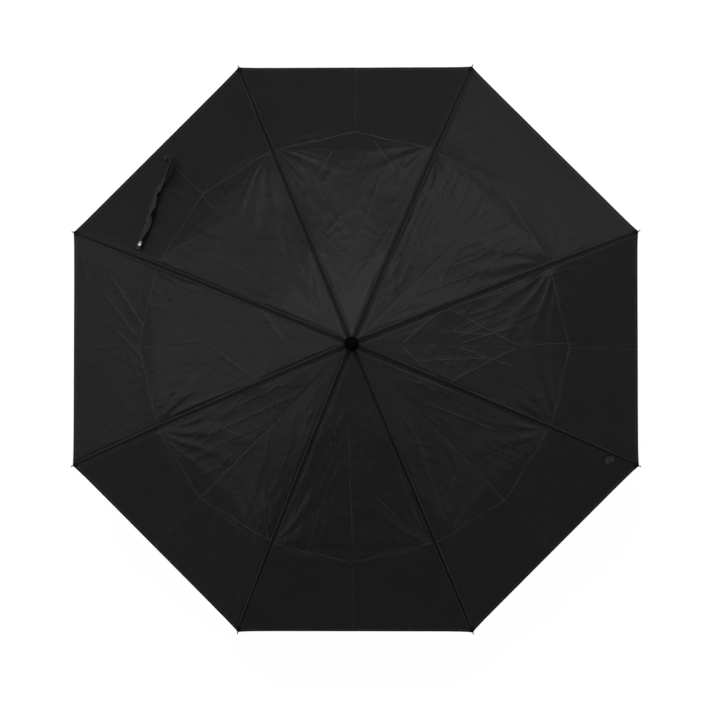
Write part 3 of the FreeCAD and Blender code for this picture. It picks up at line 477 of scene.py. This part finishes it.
def drifted(paint, uv):
    """The weave's coordinates, moved about by a few millimetres so that a fold line wanders."""
    drift = paint.add("TexNoise", {"Scale": 28.0, "Vector": uv}).outputs["Color"]
    inputs = {0: drift, 1: (4 * MM, 4 * MM, 0.0), 2: uv}
    return paint.add("VectorMath", inputs, operation="MULTIPLY_ADD").outputs[0]


def weave_node(paint, uv):
    """The over and under of a plain weave, from 0 to 1."""
    split = paint.add("SeparateXYZ", {0: uv}).outputs
    turn = 2 * math.pi / WEAVE_PITCH
    along, across = (paint.math("SINE", paint.math("MULTIPLY", split[k], turn)) for k in (0, 1))
    return paint.math("MULTIPLY_ADD", paint.math("MULTIPLY", along, across), 0.5, 0.5)


def fabric_material(name, dark, light, roughness, specular, sheen=0.006, lines=()):
    """Plain-woven cloth. The UV map holds metres along and across the weave; a point attribute marks the
    folded-over hem, where the colour is darkened as painted shade.
    """
    paint = Paint(name)
    uv = paint.add("UVMap").outputs["UV"]
    weave = weave_node(paint, uv)
    place = paint.place()
    cloud = paint.noise(place, 26.0, 5.0)
    slub = paint.noise(uv, 1.0, 2.0, stretch=(140.0, 2600.0, 1.0))
    threads = paint.math("MULTIPLY_ADD", slub, 0.3, paint.math("MULTIPLY", weave, 0.15))
    tone = paint.math("ADD", paint.math("MULTIPLY", cloud, 0.55), threads)
    color = paint.ramp(tone, 0.3, 0.7, dark, light)
    # Painted shade: over the folded-over hem band the colour is darkened toward a deeper black.
    hem_shade_share = paint.math("MULTIPLY", paint.add("Attribute", attribute_name="hem_shade").outputs["Fac"], 0.8)
    color = paint.mix(hem_shade_share, color, tuple(0.45 * c for c in dark))
    normal = paint.bump(paint.noise(place, 420.0, 4.0), 0.35 * MM, 0.35)
    normal = paint.bump(paint.noise(place, 95.0, 5.0), 1.2 * MM, 0.30, normal)
    if lines:
        patchy = paint.spread(paint.noise(place, 34.0, 2.0), -0.2, 1.6)
        # Painted highlight: along the fold lines the colour is lifted toward a light grey; the same mask also
        # raises them by bump.
        wear_and_fold_highlight = paint.math("MULTIPLY", fold_lines(paint, drifted(paint, uv), lines), patchy)
        color = paint.mix(paint.math("MULTIPLY", wear_and_fold_highlight, 0.8), color, tuple(14 * c for c in light))
        normal = paint.bump(wear_and_fold_highlight, 0.8 * MM, 1.0, normal)
    paint.shader.inputs["Sheen Weight"].default_value = sheen
    paint.shader.inputs["Sheen Roughness"].default_value = 0.45
    paint.shader.inputs["Sheen Tint"].default_value = (0.9, 0.92, 1.0, 1.0)
    rough = paint.spread(cloud, roughness - 0.07, roughness + 0.07)
    return paint.finish(color, rough, paint.bump(weave, 0.05 * MM, 0.5, normal), specular)


def thread_material():
    paint = Paint("sewing_thread")
    ply = paint.noise(paint.place(), 2600.0, 2.0)
    color = paint.ramp(ply, 0.3, 0.7, (0.006,) * 3, (0.02,) * 3)
    return paint.finish(color, 0.6, paint.bump(ply, 0.08 * MM, 0.6))


def metal_material(name, dark, light, low_rough, high_rough, drawn, scratches=0.25):
    """Metal with the fine lines of drawing along one axis; drawn gives the stretch of those lines."""
    paint = Paint(name)
    place = paint.place()
    lines = paint.noise(place, 1.0, 3.0, stretch=drawn)
    smudge = paint.noise(place, 55.0, 5.0)
    color = paint.ramp(smudge, 0.3, 0.75, dark, light)
    blend = paint.math("ADD", paint.math("MULTIPLY", lines, 0.5), paint.math("MULTIPLY", smudge, 0.5))
    paint.shader.inputs["Metallic"].default_value = 1.0
    rough = paint.spread(blend, low_rough, high_rough)
    return paint.finish(color, rough, paint.bump(lines, 0.05 * MM, scratches))


def enamel_material(name, dark, light, low_rough, high_rough, wear_and_fold_highlight):
    """Thin enamel on steel, with the bare metal grinning through at fine scratches."""
    paint = Paint(name)
    place = paint.place()
    cloud = paint.noise(place, 48.0, 6.0)
    bare = paint.math("MULTIPLY", paint.math("GREATER_THAN", paint.noise(place, 210.0, 6.0), 0.70), wear_and_fold_highlight)
    color = paint.mix(bare, paint.ramp(cloud, 0.3, 0.7, dark, light), (0.32, 0.32, 0.33))
    peel = paint.bump(paint.noise(place, 900.0, 2.0), 0.04 * MM, 0.35)
    return paint.finish(color, paint.spread(cloud, low_rough, high_rough), peel)


def plastic_material(name, dark, light, low_rough, high_rough, grain_scale, grain_depth, specular=0.5):
    """Moulded plastic or rubber with a fine spark-eroded grain."""
    paint = Paint(name)
    place = paint.place()
    cloud = paint.noise(place, 60.0, 5.0)
    color = paint.ramp(cloud, 0.3, 0.7, dark, light)
    grain = paint.bump(paint.noise(place, grain_scale, 2.0), grain_depth, 0.5)
    return paint.finish(color, paint.spread(cloud, low_rough, high_rough), grain, specular)


CLOTH_DARK, CLOTH_LIGHT = (0.0008, 0.0008, 0.0009), (0.0017, 0.0017, 0.0019)
CLOTH_ROUGHNESS, CLOTH_SPECULAR = 0.48, 0.072
FABRIC = fabric_material("canopy_pongee", CLOTH_DARK, CLOTH_LIGHT, CLOTH_ROUGHNESS, CLOTH_SPECULAR)
# Each panel's cloth has painted highlights along its fold lines.
PANEL_FABRIC = {angle: fabric_material(f"canopy_pongee_{angle}", CLOTH_DARK, CLOTH_LIGHT, CLOTH_ROUGHNESS,
                                       CLOTH_SPECULAR, lines=creases(angle)) for angle in PANELS}
# A darker copy of the cloth for the felled seams: its colour is painted shade for the dark band over each
# rib.
SEAM_SHADED_FABRIC = fabric_material("seam_pongee_shaded", (0.0007, 0.0007, 0.0008), (0.0015, 0.0015, 0.0017), 0.62, 0.034,
                              sheen=0.0)
STRAP_FABRIC = fabric_material("strap_pongee", (0.0022, 0.0022, 0.0024), (0.0045, 0.0045, 0.0048), 0.55, 0.09)
THREAD = thread_material()
RIB_STEEL = enamel_material("rib_enamel", (0.018, 0.018, 0.020), (0.036, 0.036, 0.038), 0.32, 0.5, 0.55)
WIRE_STEEL = enamel_material("wire_enamel", (0.014, 0.014, 0.015), (0.030, 0.030, 0.032), 0.36, 0.55, 0.3)
TUBE_STEEL = metal_material("tube_chrome", (0.60, 0.60, 0.61), (0.78, 0.78, 0.79), 0.12, 0.26,
                            (900.0, 900.0, 12.0), 0.18)
CATCH_STEEL = metal_material("catch_spring_steel", (0.48, 0.48, 0.49), (0.66, 0.66, 0.67), 0.2, 0.34,
                             (700.0, 700.0, 20.0))
FRAME_PLASTIC = plastic_material("frame_nylon", (0.012, 0.012, 0.013), (0.022, 0.022, 0.023), 0.38, 0.52,
                                 1500.0, 0.06 * MM)
FERRULE_PLASTIC = plastic_material("ferrule_satin", (0.0003, 0.0003, 0.0003), (0.0007, 0.0007, 0.0008),
                                   0.5, 0.62, 1900.0, 0.03 * MM, 0.004)
GRIP_RUBBER = plastic_material("grip_soft_touch", (0.014, 0.014, 0.015), (0.026, 0.026, 0.027), 0.55, 0.72,
                               2600.0, 0.05 * MM, 0.35)
CAP_PLASTIC = plastic_material("cap_moulded", (0.018, 0.018, 0.019), (0.030, 0.030, 0.031), 0.34, 0.46,
                               1700.0, 0.04 * MM)
SNAP_METAL = metal_material("snap_nickel", (0.26, 0.26, 0.27), (0.46, 0.46, 0.47), 0.12, 0.34,
                            (500.0, 500.0, 500.0), 0.12)

NODE_MATERIALS = {
    "lower_tube": TUBE_STEEL, "middle_tube": TUBE_STEEL, "upper_tube": TUBE_STEEL,
    "runner_catch": CATCH_STEEL, "crown_notch": FRAME_PLASTIC, "runner": FRAME_PLASTIC,
    "ferrule": FERRULE_PLASTIC, "handle_grip": GRIP_RUBBER, "handle_end_cap": CAP_PLASTIC,
    "canopy": FABRIC, "closure_strap": FABRIC, "snap_button": SNAP_METAL,
}
for rib in range(1, RIBS + 1):
    for part in ("top_rib", "stretcher", "middle_rib"):
        NODE_MATERIALS[f"{part}_{rib}"] = RIB_STEEL
    for part in ("link_bar", "outer_rib", "control_wire"):
        NODE_MATERIALS[f"{part}_{rib}"] = WIRE_STEEL

for name, node in frame["nodes"].items():
    node.data.materials.clear()
    node.data.materials.append(NODE_MATERIALS[name])


# --- meshes

def make_object(name, vertices, faces, materials, normals=None, uv=None, hem_shade=None, indices=None):
    mesh = bpy.data.meshes.new(name)
    mesh.from_pydata([tuple(v) for v in vertices], [], faces)
    for material in materials:
        mesh.materials.append(material)
    if indices is not None:
        mesh.polygons.foreach_set("material_index", np.asarray(indices, np.int32))
    if uv is not None:
        layer = mesh.uv_layers.new(name="UVMap")
        corner = np.empty(len(mesh.loops), np.int32)
        mesh.loops.foreach_get("vertex_index", corner)
        layer.data.foreach_set("uv", np.asarray(uv, np.float32)[corner].ravel())
    # This point attribute carries the mask of the hem's painted shade.
    if hem_shade is not None:
        mark = mesh.attributes.new("hem_shade", "FLOAT", "POINT")
        mark.data.foreach_set("value", np.asarray(hem_shade, np.float32))
    mesh.polygons.foreach_set("use_smooth", [True] * len(mesh.polygons))
    mesh.update()
    if normals is not None:
        mesh.normals_split_custom_set_from_vertices([tuple(n) for n in normals])
    piece = bpy.data.objects.new(name, mesh)
    bpy.context.scene.collection.objects.link(piece)
    return piece


def grid_shell(rows, columns):
    """Faces of a closed thin sheet: a grid of top vertices, the same grid below, and walls round the rim."""
    faces = []
    count = rows * columns
    for i in range(rows - 1):
        for j in range(columns - 1):
            a = i * columns + j
            quad = (a, a + columns, a + columns + 1, a + 1)
            faces.append(quad)
            faces.append(tuple(count + k for k in reversed(quad)))
    rim = (list(range(columns))
           + [i * columns + columns - 1 for i in range(1, rows)]
           + [(rows - 1) * columns + j for j in range(columns - 2, -1, -1)]
           + [i * columns for i in range(rows - 2, 0, -1)])
    for k, a in enumerate(rim):
        b = rim[(k + 1) % len(rim)]
        faces.append((a, b, count + b, count + a))
    return faces


STITCH_PITCH, STITCH_LENGTH, STITCH_HALF, STITCH_RISE = 3.2 * MM, 2.3 * MM, 0.20 * MM, 0.20 * MM
BOX_FACES = ((0, 1, 2, 3), (7, 6, 5, 4), (0, 4, 5, 1), (1, 5, 6, 2), (2, 6, 7, 3), (3, 7, 4, 0))


def stitches(px, py):
    """Vertices, normals and faces of sewn stitches along a line of points in plan."""
    line = np.stack((px, py, cover_level(px, py)), axis=-1)
    run = np.concatenate(((0,), np.cumsum(np.linalg.norm(np.diff(line, axis=0), axis=1))))
    stations = np.arange(0.5 * STITCH_PITCH, run[-1] - 0.4 * STITCH_PITCH, STITCH_PITCH)
    place, front = (np.stack([np.interp(at, run, line[:, k]) for k in range(2)], axis=-1)
                    for at in (stations, stations + 0.5 * STITCH_LENGTH))
    ahead = front - place
    level = cover_level(place[:, 0], place[:, 1])
    up = cover_normals(place[:, 0], place[:, 1])
    along = np.concatenate((ahead, np.zeros((len(ahead), 1))), axis=1)
    along -= up * (along * up).sum(axis=1, keepdims=True)
    along /= np.linalg.norm(along, axis=1, keepdims=True)
    aside = np.cross(up, along)
    centre = np.concatenate((place, level[:, None]), axis=1)
    vertices, normals, faces = [], [], []
    for i in range(len(stations)):
        first = 8 * i
        for rise, narrow in ((-0.12 * MM, 1.0), (STITCH_RISE, 0.55)):
            for end, side in ((-1, -1), (1, -1), (1, 1), (-1, 1)):
                offset = (along[i] * end * 0.5 * STITCH_LENGTH * (0.75 + 0.25 * narrow)
                          + aside[i] * side * STITCH_HALF * narrow)
                vertices.append(centre[i] + offset + up[i] * rise)
                normals.append(up[i] * 0.5 + offset / np.linalg.norm(offset))
        faces += [tuple(first + k for k in reversed(face)) for face in BOX_FACES]
    return np.array(vertices), np.array(normals), faces


def cloth_piece(name, px, py, drop=0.0, thickness=CLOTH, material=FABRIC, panel=0.0, flip=False,
                rows_sewn=()):
    """A sheet that lies drop under the cover's top face, over a grid of points in plan.

    Its weave runs out along the azimuth named panel. Each of rows_sewn is a line of stitches in plan.
    """
    rows, columns = px.shape
    flat_x, flat_y = px.ravel(), py.ravel()
    level = cover_level(flat_x, flat_y) - drop
    normals = cover_normals(flat_x, flat_y)
    top = np.stack((flat_x, flat_y, level), axis=-1)
    bottom = top - np.array((0, 0, thickness))
    _, x, signed = rib_frame(flat_x, flat_y)
    y = np.abs(signed)
    inward = (hem_line(y) - x) * math.cos(HALF_GORE)
    # Mask of painted shade: it darkens the cloth's colour over the folded-over hem band.
    hem_shade = 0.5 * step(-inward, -HEM_WIDTH - 0.6 * MM, -HEM_WIDTH + 0.4 * MM)
    out, across = rib_axes(panel)
    uv = np.stack((flat_x * out[0] + flat_y * out[1], flat_x * across[0] + flat_y * across[1]), axis=-1)
    faces = grid_shell(rows, columns)
    count = len(flat_x)
    sewn = y < seam_half(x) + 0.15 * MM
    seamed = material is not STRAP_FABRIC
    indices = [int(seamed and all(sewn[k % count] for k in face)) for face in faces]
    if flip:
        faces = [tuple(reversed(face)) for face in faces]
    vertices, normals = np.concatenate((top, bottom)), np.concatenate((normals, -normals))
    uv, hem_shade = np.tile(uv, (2, 1)), np.tile(hem_shade, 2)
    for line in rows_sewn:
        more, more_normals, more_faces = stitches(*line)
        faces += [tuple(len(vertices) + k for k in face) for face in more_faces]
        indices += [2] * len(more_faces)
        vertices, normals = np.concatenate((vertices, more)), np.concatenate((normals, more_normals))
        uv, hem_shade = np.concatenate((uv, more[:, :2])), np.concatenate((hem_shade, np.zeros(len(more))))
    return make_object(name, vertices, faces, (material, SEAM_SHADED_FABRIC, THREAD), normals=normals, uv=uv,
                       hem_shade=hem_shade, indices=indices)


SEAM_COLUMNS = np.array((0, 0.8, 1.6, 2.3, 2.9, 3.3, 3.7, 4.1, 4.5, 5.0, 5.6, 6.6, 8.0)) * MM
HEM_ROWS = np.array((6.6, 5.6, 5.0, 4.4, 3.2, 1.9, 0.8, 0.0)) * MM
GRID = 2.9 * MM
PETAL_IN, PETAL_OUT = 12.0 * MM, 24.0 * MM
ZONES = {"top": (PETAL_OUT, FIRST[0]), "middle": (FIRST[0], SECOND[0]), "outer": (SECOND[0], None)}


def wing_plan(zone):
    """Distances out along and across a rib for the grid of one side of one zone."""
    start, end = ZONES[zone]
    edge = FACET * (end or HEM_RADIUS * 0.86)
    fan = np.linspace(0, 1, int(math.ceil((edge - SEAM_COLUMNS[-1]) / GRID)) + 1)[1:]
    share = np.concatenate((0 * SEAM_COLUMNS, fan))
    seam = np.concatenate((SEAM_COLUMNS, 0 * fan + SEAM_COLUMNS[-1]))
    if end is not None:
        rows = np.linspace(start, end, int(math.ceil((end - start) / GRID)) + 1)
        x = np.repeat(rows[:, None], len(share), axis=1)
    else:
        last = np.full(len(share), HEM_RADIUS)
        for _ in range(30):
            last = hem_line(seam + share * (FACET * last - seam))
        steps = np.linspace(0, 1, int(math.ceil((HEM_RADIUS - start) / GRID)))
        body = start + steps[:, None] * (last - HEM_ROWS[0] - start)[None, :]
        x = np.concatenate((body, last[None, :] - HEM_ROWS[1:, None]))
    y = seam + share * (FACET * x - seam)
    return x, y


def sewn_lines(zone):
    """Rows of stitches on one side of one zone: along the seam and, in the outer zone, along the hem."""
    start, end = ZONES[zone]
    x = np.linspace(start, (end or HEM_RADIUS - 6 * MM), 60)
    lines = [(x, seam_half(x) - 0.9 * MM)]
    if end is None:
        y = np.linspace(5 * MM, FACET * HEM_RADIUS * math.cos(HALF_GORE) ** 2, 60)
        lines.append((hem_line(y) - (HEM_WIDTH - 1.1 * MM) / math.cos(HALF_GORE), y))
    return lines


def to_plan(x, signed, angle):
    """Plan places of points given as (out along an azimuth, across it)."""
    out, across = rib_axes(angle)
    return x * out[0] + signed * across[0], x * out[1] + signed * across[1]


def gather(piece):
    """Gives a wing its own copy of its mesh."""
    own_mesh(piece)


def build_cover():
    for zone in ZONES:
        x, y = wing_plan(zone)
        for rib in range(1, RIBS + 1):
            for side_name, side in SIDES.items():
                px, py = to_plan(x, side * y, azimuth(rib))
                panel = azimuth(rib) + side * HALF_GORE
                sewn = [to_plan(line_x, side * line_y, azimuth(rib)) for line_x, line_y in sewn_lines(zone)]
                cloth = PANEL_FABRIC[round(math.degrees(panel)) % 360]
                wing = cloth_piece(f"canopy_{zone}_{rib}_{side_name}", px, py, material=cloth, panel=panel,
                                   flip=side < 0, rows_sewn=sewn)
                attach(wing, f"{zone}_rib_{rib}")
                gather(wing)
                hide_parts("canopy")


def petal_plan(start, end, rows):
    x = np.repeat(np.linspace(start, end, rows)[:, None], 17, axis=1)
    return x, FACET * x * np.linspace(-1, 1, 17)[None, :]


def build_crown():
    """The cover's centre: a disc held under the ferrule, and petals that bend down from it to the ribs."""
    rows = []
    turns = np.linspace(0, 2 * math.pi, 16 * RIBS + 1)
    local = (turns - FIRST_AZIMUTH + HALF_GORE) % (2 * HALF_GORE) - HALF_GORE
    edge = PETAL_IN / np.cos(local)
    hole = 4.0 * MM
    for share in np.linspace(0, 1, 5):
        radius = hole + share * (edge - hole)
        rows.append(np.stack((radius * np.cos(turns), radius * np.sin(turns))))
    px, py = np.array(rows)[:, 0], np.array(rows)[:, 1]
    disc = cloth_piece("canopy_crown", px, py)
    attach(disc, "upper_section")
    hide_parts("canopy")
    x, y = petal_plan(PETAL_IN, PETAL_OUT, 9)
    for rib in range(1, RIBS + 1):
        px, py = to_plan(x, y, azimuth(rib))
        petal = cloth_piece(f"canopy_petal_{rib}", px, py, panel=azimuth(rib))
        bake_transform(petal)
        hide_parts("canopy")


def build_patches():
    """The small patches sewn inside the cover over each second joint, which round the fold's outer bend."""
    half_length, half_width = 13 * MM, 7 * MM
    x = SECOND[0] + np.repeat(np.linspace(-half_length, half_length, 27)[:, None], 9, axis=1)
    y = np.repeat(np.linspace(-half_width, half_width, 9)[None, :], 27, axis=0)
    for rib in range(1, RIBS + 1):
        px, py = to_plan(x, y, azimuth(rib))
        patch = cloth_piece(f"joint_patch_{rib}", px, py, drop=0.95 * MM, thickness=0.3 * MM,
                            material=STRAP_FABRIC, panel=azimuth(rib))
        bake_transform(patch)


# --- strap, snap, tab and tips

STRAP_RIB, STRAP_SIDE, STRAP_PANEL = 4, -1, math.radians(135)
# The strap's route over its panel, as (out, across, twist in degrees), mm: it hooks over near the
# hem, then trails.
STRAP_ROUTE = ((412, 1, 50), (406, -5, 66), (399, -1, 78), (394, 8, 76), (390, 20, 60), (386, 38, 14),
               (380, 52, 30), (371, 67, 10), (364, 78, 32), (357, 89, 8), (347, 111, 24), (339, 128, 4))
STRAP_WIDTH, STRAP_THICKNESS = 11.0 * MM, 1.1 * MM
SNAP_FROM_END = 9.0 * MM
SNAP_RADIUS = 3.9 * MM
# The press stud's outline: share of its radius, and height over the strap in mm.
SNAP_PROFILE = ((0.25, -1.6), (1, -1.5), (1.02, -1.2), (1, 0.3), (1.06, 0.5), (1.06, 0.8), (0.97, 1.05),
                (0.8, 1.1), (0.72, 1.0), (0.6, 1.25), (0.35, 1.5), (0.08, 1.56))
TAB_WIDTH = 10.2 * MM


def smooth_route(points, count):
    """Points evenly spread along a Catmull-Rom curve through a route."""
    points = np.array([points[0], *points, points[-1]], float)
    dense = []
    for k in range(1, len(points) - 2):
        a, b, c, d = points[k - 1:k + 3]
        for t in np.linspace(0, 1, 24, endpoint=k == len(points) - 3):
            dense.append(0.5 * (2 * b + (c - a) * t + (2 * a - 5 * b + 4 * c - d) * t ** 2
                                + (3 * b - a - 3 * c + d) * t ** 3))
    dense = np.array(dense)
    run = np.concatenate(((0,), np.cumsum(np.linalg.norm(np.diff(dense[:, :2], axis=0), axis=1))))
    even = np.linspace(0, run[-1], count)
    return np.stack([np.interp(even, run, dense[:, k]) for k in range(dense.shape[1])], axis=-1), run[-1] * MM


def surface_frames(px, py):
    """Places on the cover along a line, with unit vectors aside and up."""
    place = np.stack((px, py, cover_level(px, py)), axis=-1)
    up = cover_normals(px, py)
    ahead = np.gradient(place, axis=0)
    ahead -= up * (ahead * up).sum(axis=1, keepdims=True)
    ahead /= np.linalg.norm(ahead, axis=1, keepdims=True)
    return place, np.cross(up, ahead), up


def ribbon(name, place, aside, up, twist, width, thickness, material, crumple, seed):
    """A crumpled band with stitched edges that stands on the cover on whichever edge its twist turns down."""
    columns = 13
    rows = len(place)
    w = np.linspace(-0.5, 0.5, columns)[None, :] * width
    s = np.arange(rows, dtype=float)[:, None]
    rib = 0.35 * MM * np.exp(-((np.abs(w) - 0.40 * width) / (0.5 * MM)) ** 2)
    wave = crumple * (noise(s / 5.0 + 0 * w, w / (4.2 * MM) + 0 * s, seed)
                      + 0.5 * noise(s / 2.2 + 0 * w, w / (2.6 * MM) + 0 * s, seed + 1))
    turn = np.radians(twist)[:, None]
    direction = np.cos(turn)[..., None] * aside[:, None, :] + np.sin(turn)[..., None] * up[:, None, :]
    facing = np.cos(turn)[..., None] * up[:, None, :] - np.sin(turn)[..., None] * aside[:, None, :]
    lift = 0.5 * width * np.abs(np.sin(turn)) + crumple + 0.35 * MM + 0.5 * thickness
    middle = (place[:, None, :] + lift[..., None] * up[:, None, :] + w[..., None] * direction
              + wave[..., None] * facing)
    upper = middle + (0.5 * thickness + rib)[..., None] * facing
    lower = middle - (0.5 * thickness + rib)[..., None] * facing
    vertices = np.concatenate((upper.reshape(-1, 3), lower.reshape(-1, 3)))
    uv = np.stack([np.broadcast_to(run, (rows, columns)).ravel() for run in (s * 1.5 * MM, w)], axis=-1)
    piece = make_object(name, vertices, grid_shell(rows, columns), (material,), uv=np.tile(uv, (2, 1)),
                        hem_shade=np.zeros(2 * rows * columns))
    recalculate(piece)
    return piece, middle


def recalculate(piece):
    """Turns every face's normal outward."""
    mesh = bmesh.new()
    mesh.from_mesh(piece.data)
    bmesh.ops.recalc_face_normals(mesh, faces=mesh.faces)
    mesh.to_mesh(piece.data)
    mesh.free()


def turned_shape(name, profile, place, axis, material, segments=28):
    """A closed solid of revolution: profile points are (radius, height along axis), the ends on the axis."""
    axis = np.array(axis) / np.linalg.norm(axis)
    side = np.cross(axis, (0.3, 0.5, 0.8))
    side /= np.linalg.norm(side)
    other = np.cross(axis, side)
    vertices, faces = [], []
    for radius, height in profile:
        for k in range(segments):
            turn = 2 * math.pi * k / segments
            vertices.append(place + axis * height + radius * (math.cos(turn) * side + math.sin(turn) * other))
    for i in range(len(profile) - 1):
        for k in range(segments):
            j = (k + 1) % segments
            faces.append((i * segments + k, i * segments + j, (i + 1) * segments + j, (i + 1) * segments + k))
    faces.append(tuple(reversed(range(segments))))
    faces.append(tuple((len(profile) - 1) * segments + k for k in range(segments)))
    piece = make_object(name, vertices, faces, (material,))
    recalculate(piece)
    return piece


def carried_in(piece):
    """Gives a small stiff piece its own copy of its mesh."""
    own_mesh(piece)


def build_strap():
    route, length = smooth_route(STRAP_ROUTE, 112)
    px, py = to_plan(route[:, 0] * MM, route[:, 1] * MM, STRAP_PANEL)
    place, aside, up = surface_frames(px, py)
    strap, middle = ribbon("closure_strap_cloth", place, aside, up, route[:, 2], STRAP_WIDTH,
                           STRAP_THICKNESS, STRAP_FABRIC, 1.5 * MM, 51)
    body = f"outer_rib_{STRAP_RIB}"
    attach(strap, body)
    gather(strap)
    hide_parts("closure_strap")
    row = int(round((1 - SNAP_FROM_END / length) * (len(route) - 1)))
    column = middle.shape[1] // 2
    run = middle[row + 2, column] - middle[row - 2, column]
    span = middle[row, column + 2] - middle[row, column - 2]
    normal = np.cross(run, span)
    normal *= math.copysign(1, normal[2]) / np.linalg.norm(normal)
    foot = middle[row, column] + normal * 0.3 * MM
    profile = [(SNAP_RADIUS * share, height * MM) for share, height in SNAP_PROFILE]
    snap = turned_shape("strap_snap", profile, foot, normal, SNAP_METAL)
    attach(snap, body)
    carried_in(snap)
    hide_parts("snap_button")


def build_tab():
    """A short folded tab of cloth sewn beside a rib's seam near its tip."""
    rib, side = RIBS, -1
    x = np.linspace(435, 421, 12) * MM
    y = np.linspace(3.5, 13.5, 12) * MM
    px, py = to_plan(x, side * y, azimuth(rib))
    place, aside, up = surface_frames(px, py)
    tab, middle = ribbon("seam_tab", place, aside, up, np.linspace(8, 34, 12), TAB_WIDTH, 0.7 * MM,
                         STRAP_FABRIC, 0.35 * MM, 61)
    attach(tab, f"outer_rib_{rib}")
    carried_in(tab)


TIP_SHOWN = 5.6 * MM
POCKET_RISE = 1.8 * MM
POCKET_PROFILE = tuple((radius * MM, height * MM) for radius, height in (
    (1.5, -18.5), (2.4, -18.0), (2.6, -16.5), (2.3, -15.0), (2.4, -10.0), (2.2, -6.0), (2.0, -3.0),
    (2.15, -1.4), (2.0, -0.5), (1.2, 0.0)))


def build_tip_pockets():
    """The cover's corners, sewn round the ends of the outer ribs."""
    for rib in range(1, RIBS + 1):
        out, _ = rib_axes(azimuth(rib))
        up = np.array((0.0, 0.0, 1.0))
        slope = SLOPES["outer"]
        ahead = math.cos(slope) * out - math.sin(slope) * up
        normal = math.sin(slope) * out + math.cos(slope) * up
        joint = SECOND[0] * out + SECOND[1] * up
        reach = (TIP_RADIUS - SECOND[0] - POCKET_RISE * math.sin(slope)) / math.cos(slope)
        end = joint + ahead * (reach - TIP_SHOWN) + normal * POCKET_RISE
        pocket = turned_shape(f"tip_pocket_{rib}", POCKET_PROFILE, end, ahead, STRAP_FABRIC, segments=18)
        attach(pocket, f"outer_rib_{rib}")


build_cover()
build_crown()
build_patches()
build_strap()
build_tab()
build_tip_pockets()


# --- floor, light and camera

FLOOR_SHARE, FLOOR_HALF = 0.965, 6.0
AMBIENT = 0.25


def white_to_sight(name, share, body_color):
    """A pale surface that shows the camera and reflections a share of plain white over its lit colour."""
    paint = Paint(name)
    paint.shader.inputs["Base Color"].default_value = (*body_color, 1)
    paint.shader.inputs["Roughness"].default_value = 0.9
    share_seen = paint.math("MULTIPLY", paint.seen(), share)
    paint.show(share_seen, paint.shader, paint.add("Emission"), "Material Output")
    return paint.material


def build_floor():
    corners = [(x * FLOOR_HALF, y * FLOOR_HALF, 0) for x, y in ((-1, -1), (1, -1), (1, 1), (-1, 1))]
    white = white_to_sight("floor_white", FLOOR_SHARE, (0.92, 0.92, 0.92))
    floor = make_object("floor", corners, [(0, 1, 2, 3)], (white,))


def build_world():
    """Plain white to the camera and in reflections, and a weak even light on everything else."""
    world = bpy.data.worlds.new("studio")
    bpy.context.scene.world = world
    world.use_nodes = True
    graph = Graph(world.node_tree)
    ambient = graph.nodes["Background"]
    ambient.inputs["Strength"].default_value = AMBIENT
    white = graph.add("Background")
    for background in (ambient, white):
        background.inputs["Color"].default_value = (1, 1, 1, 1)
    graph.show(graph.seen(), ambient, white, "World Output")


def softbox(name, azimuth_deg, tilt_deg, distance, size, watts):
    """A square area lamp aimed at the cover, tilt_deg away from straight above it."""
    data = bpy.data.lights.new(name, "AREA")
    data.shape = "SQUARE"
    data.size = size
    data.energy = watts
    lamp = bpy.data.objects.new(name, data)
    bpy.context.scene.collection.objects.link(lamp)
    a, tilt = math.radians(azimuth_deg), math.radians(tilt_deg)
    away = Vector((math.cos(a) * math.sin(tilt), math.sin(a) * math.sin(tilt), math.cos(tilt)))
    lamp.location = Vector((0, 0, CROWN[1])) + away * distance
    lamp.rotation_euler = away.to_track_quat("Z", "Y").to_euler()


# Each lamp's azimuth and tilt in degrees, its distance and size in metres, and its watts.
LAMPS = {
    "softbox_main": (99.0, 27.0, 3.2, 1.5, 124.0),
    "softbox_left": (166.0, 64.0, 3.0, 1.4, 44.0),
    "softbox_right": (46.0, 62.0, 3.0, 1.4, 66.0),
    "fill_left": (202.0, 42.0, 3.0, 1.5, 42.0),
    "fill_right": (332.0, 42.0, 3.0, 1.5, 28.0),
}
CAMERA_DISTANCE, VIEW_WIDTH = 4.3, 1.123
CAMERA_LEAN = (math.radians(1.45), math.radians(-1.85))
AIM_OFFSET = (7.4 * MM, -17.6 * MM)


def build_camera():
    """Nearly straight above the cover, the top of the frame toward +Y."""
    back = Vector((math.tan(CAMERA_LEAN[0]), math.tan(CAMERA_LEAN[1]), 1.0)).normalized()
    aim = Vector((*AIM_OFFSET, TIP_LEVEL))
    data = bpy.data.cameras.new("camera")
    data.sensor_width = 36.0
    data.lens = data.sensor_width * CAMERA_DISTANCE / VIEW_WIDTH
    data.clip_end = 50.0
    camera = bpy.data.objects.new("camera", data)
    bpy.context.scene.collection.objects.link(camera)
    camera.location = aim + back * CAMERA_DISTANCE
    right = Vector((0, 1, 0)).cross(back).normalized()
    camera.rotation_mode = "QUATERNION"
    camera.rotation_quaternion = Matrix((right, back.cross(right), back)).transposed().to_quaternion()
    bpy.context.scene.camera = camera


build_floor()
build_world()
for name, setting in LAMPS.items():
    softbox(name, *setting)
build_camera()
bpy.context.scene.view_settings.view_transform = "Standard"
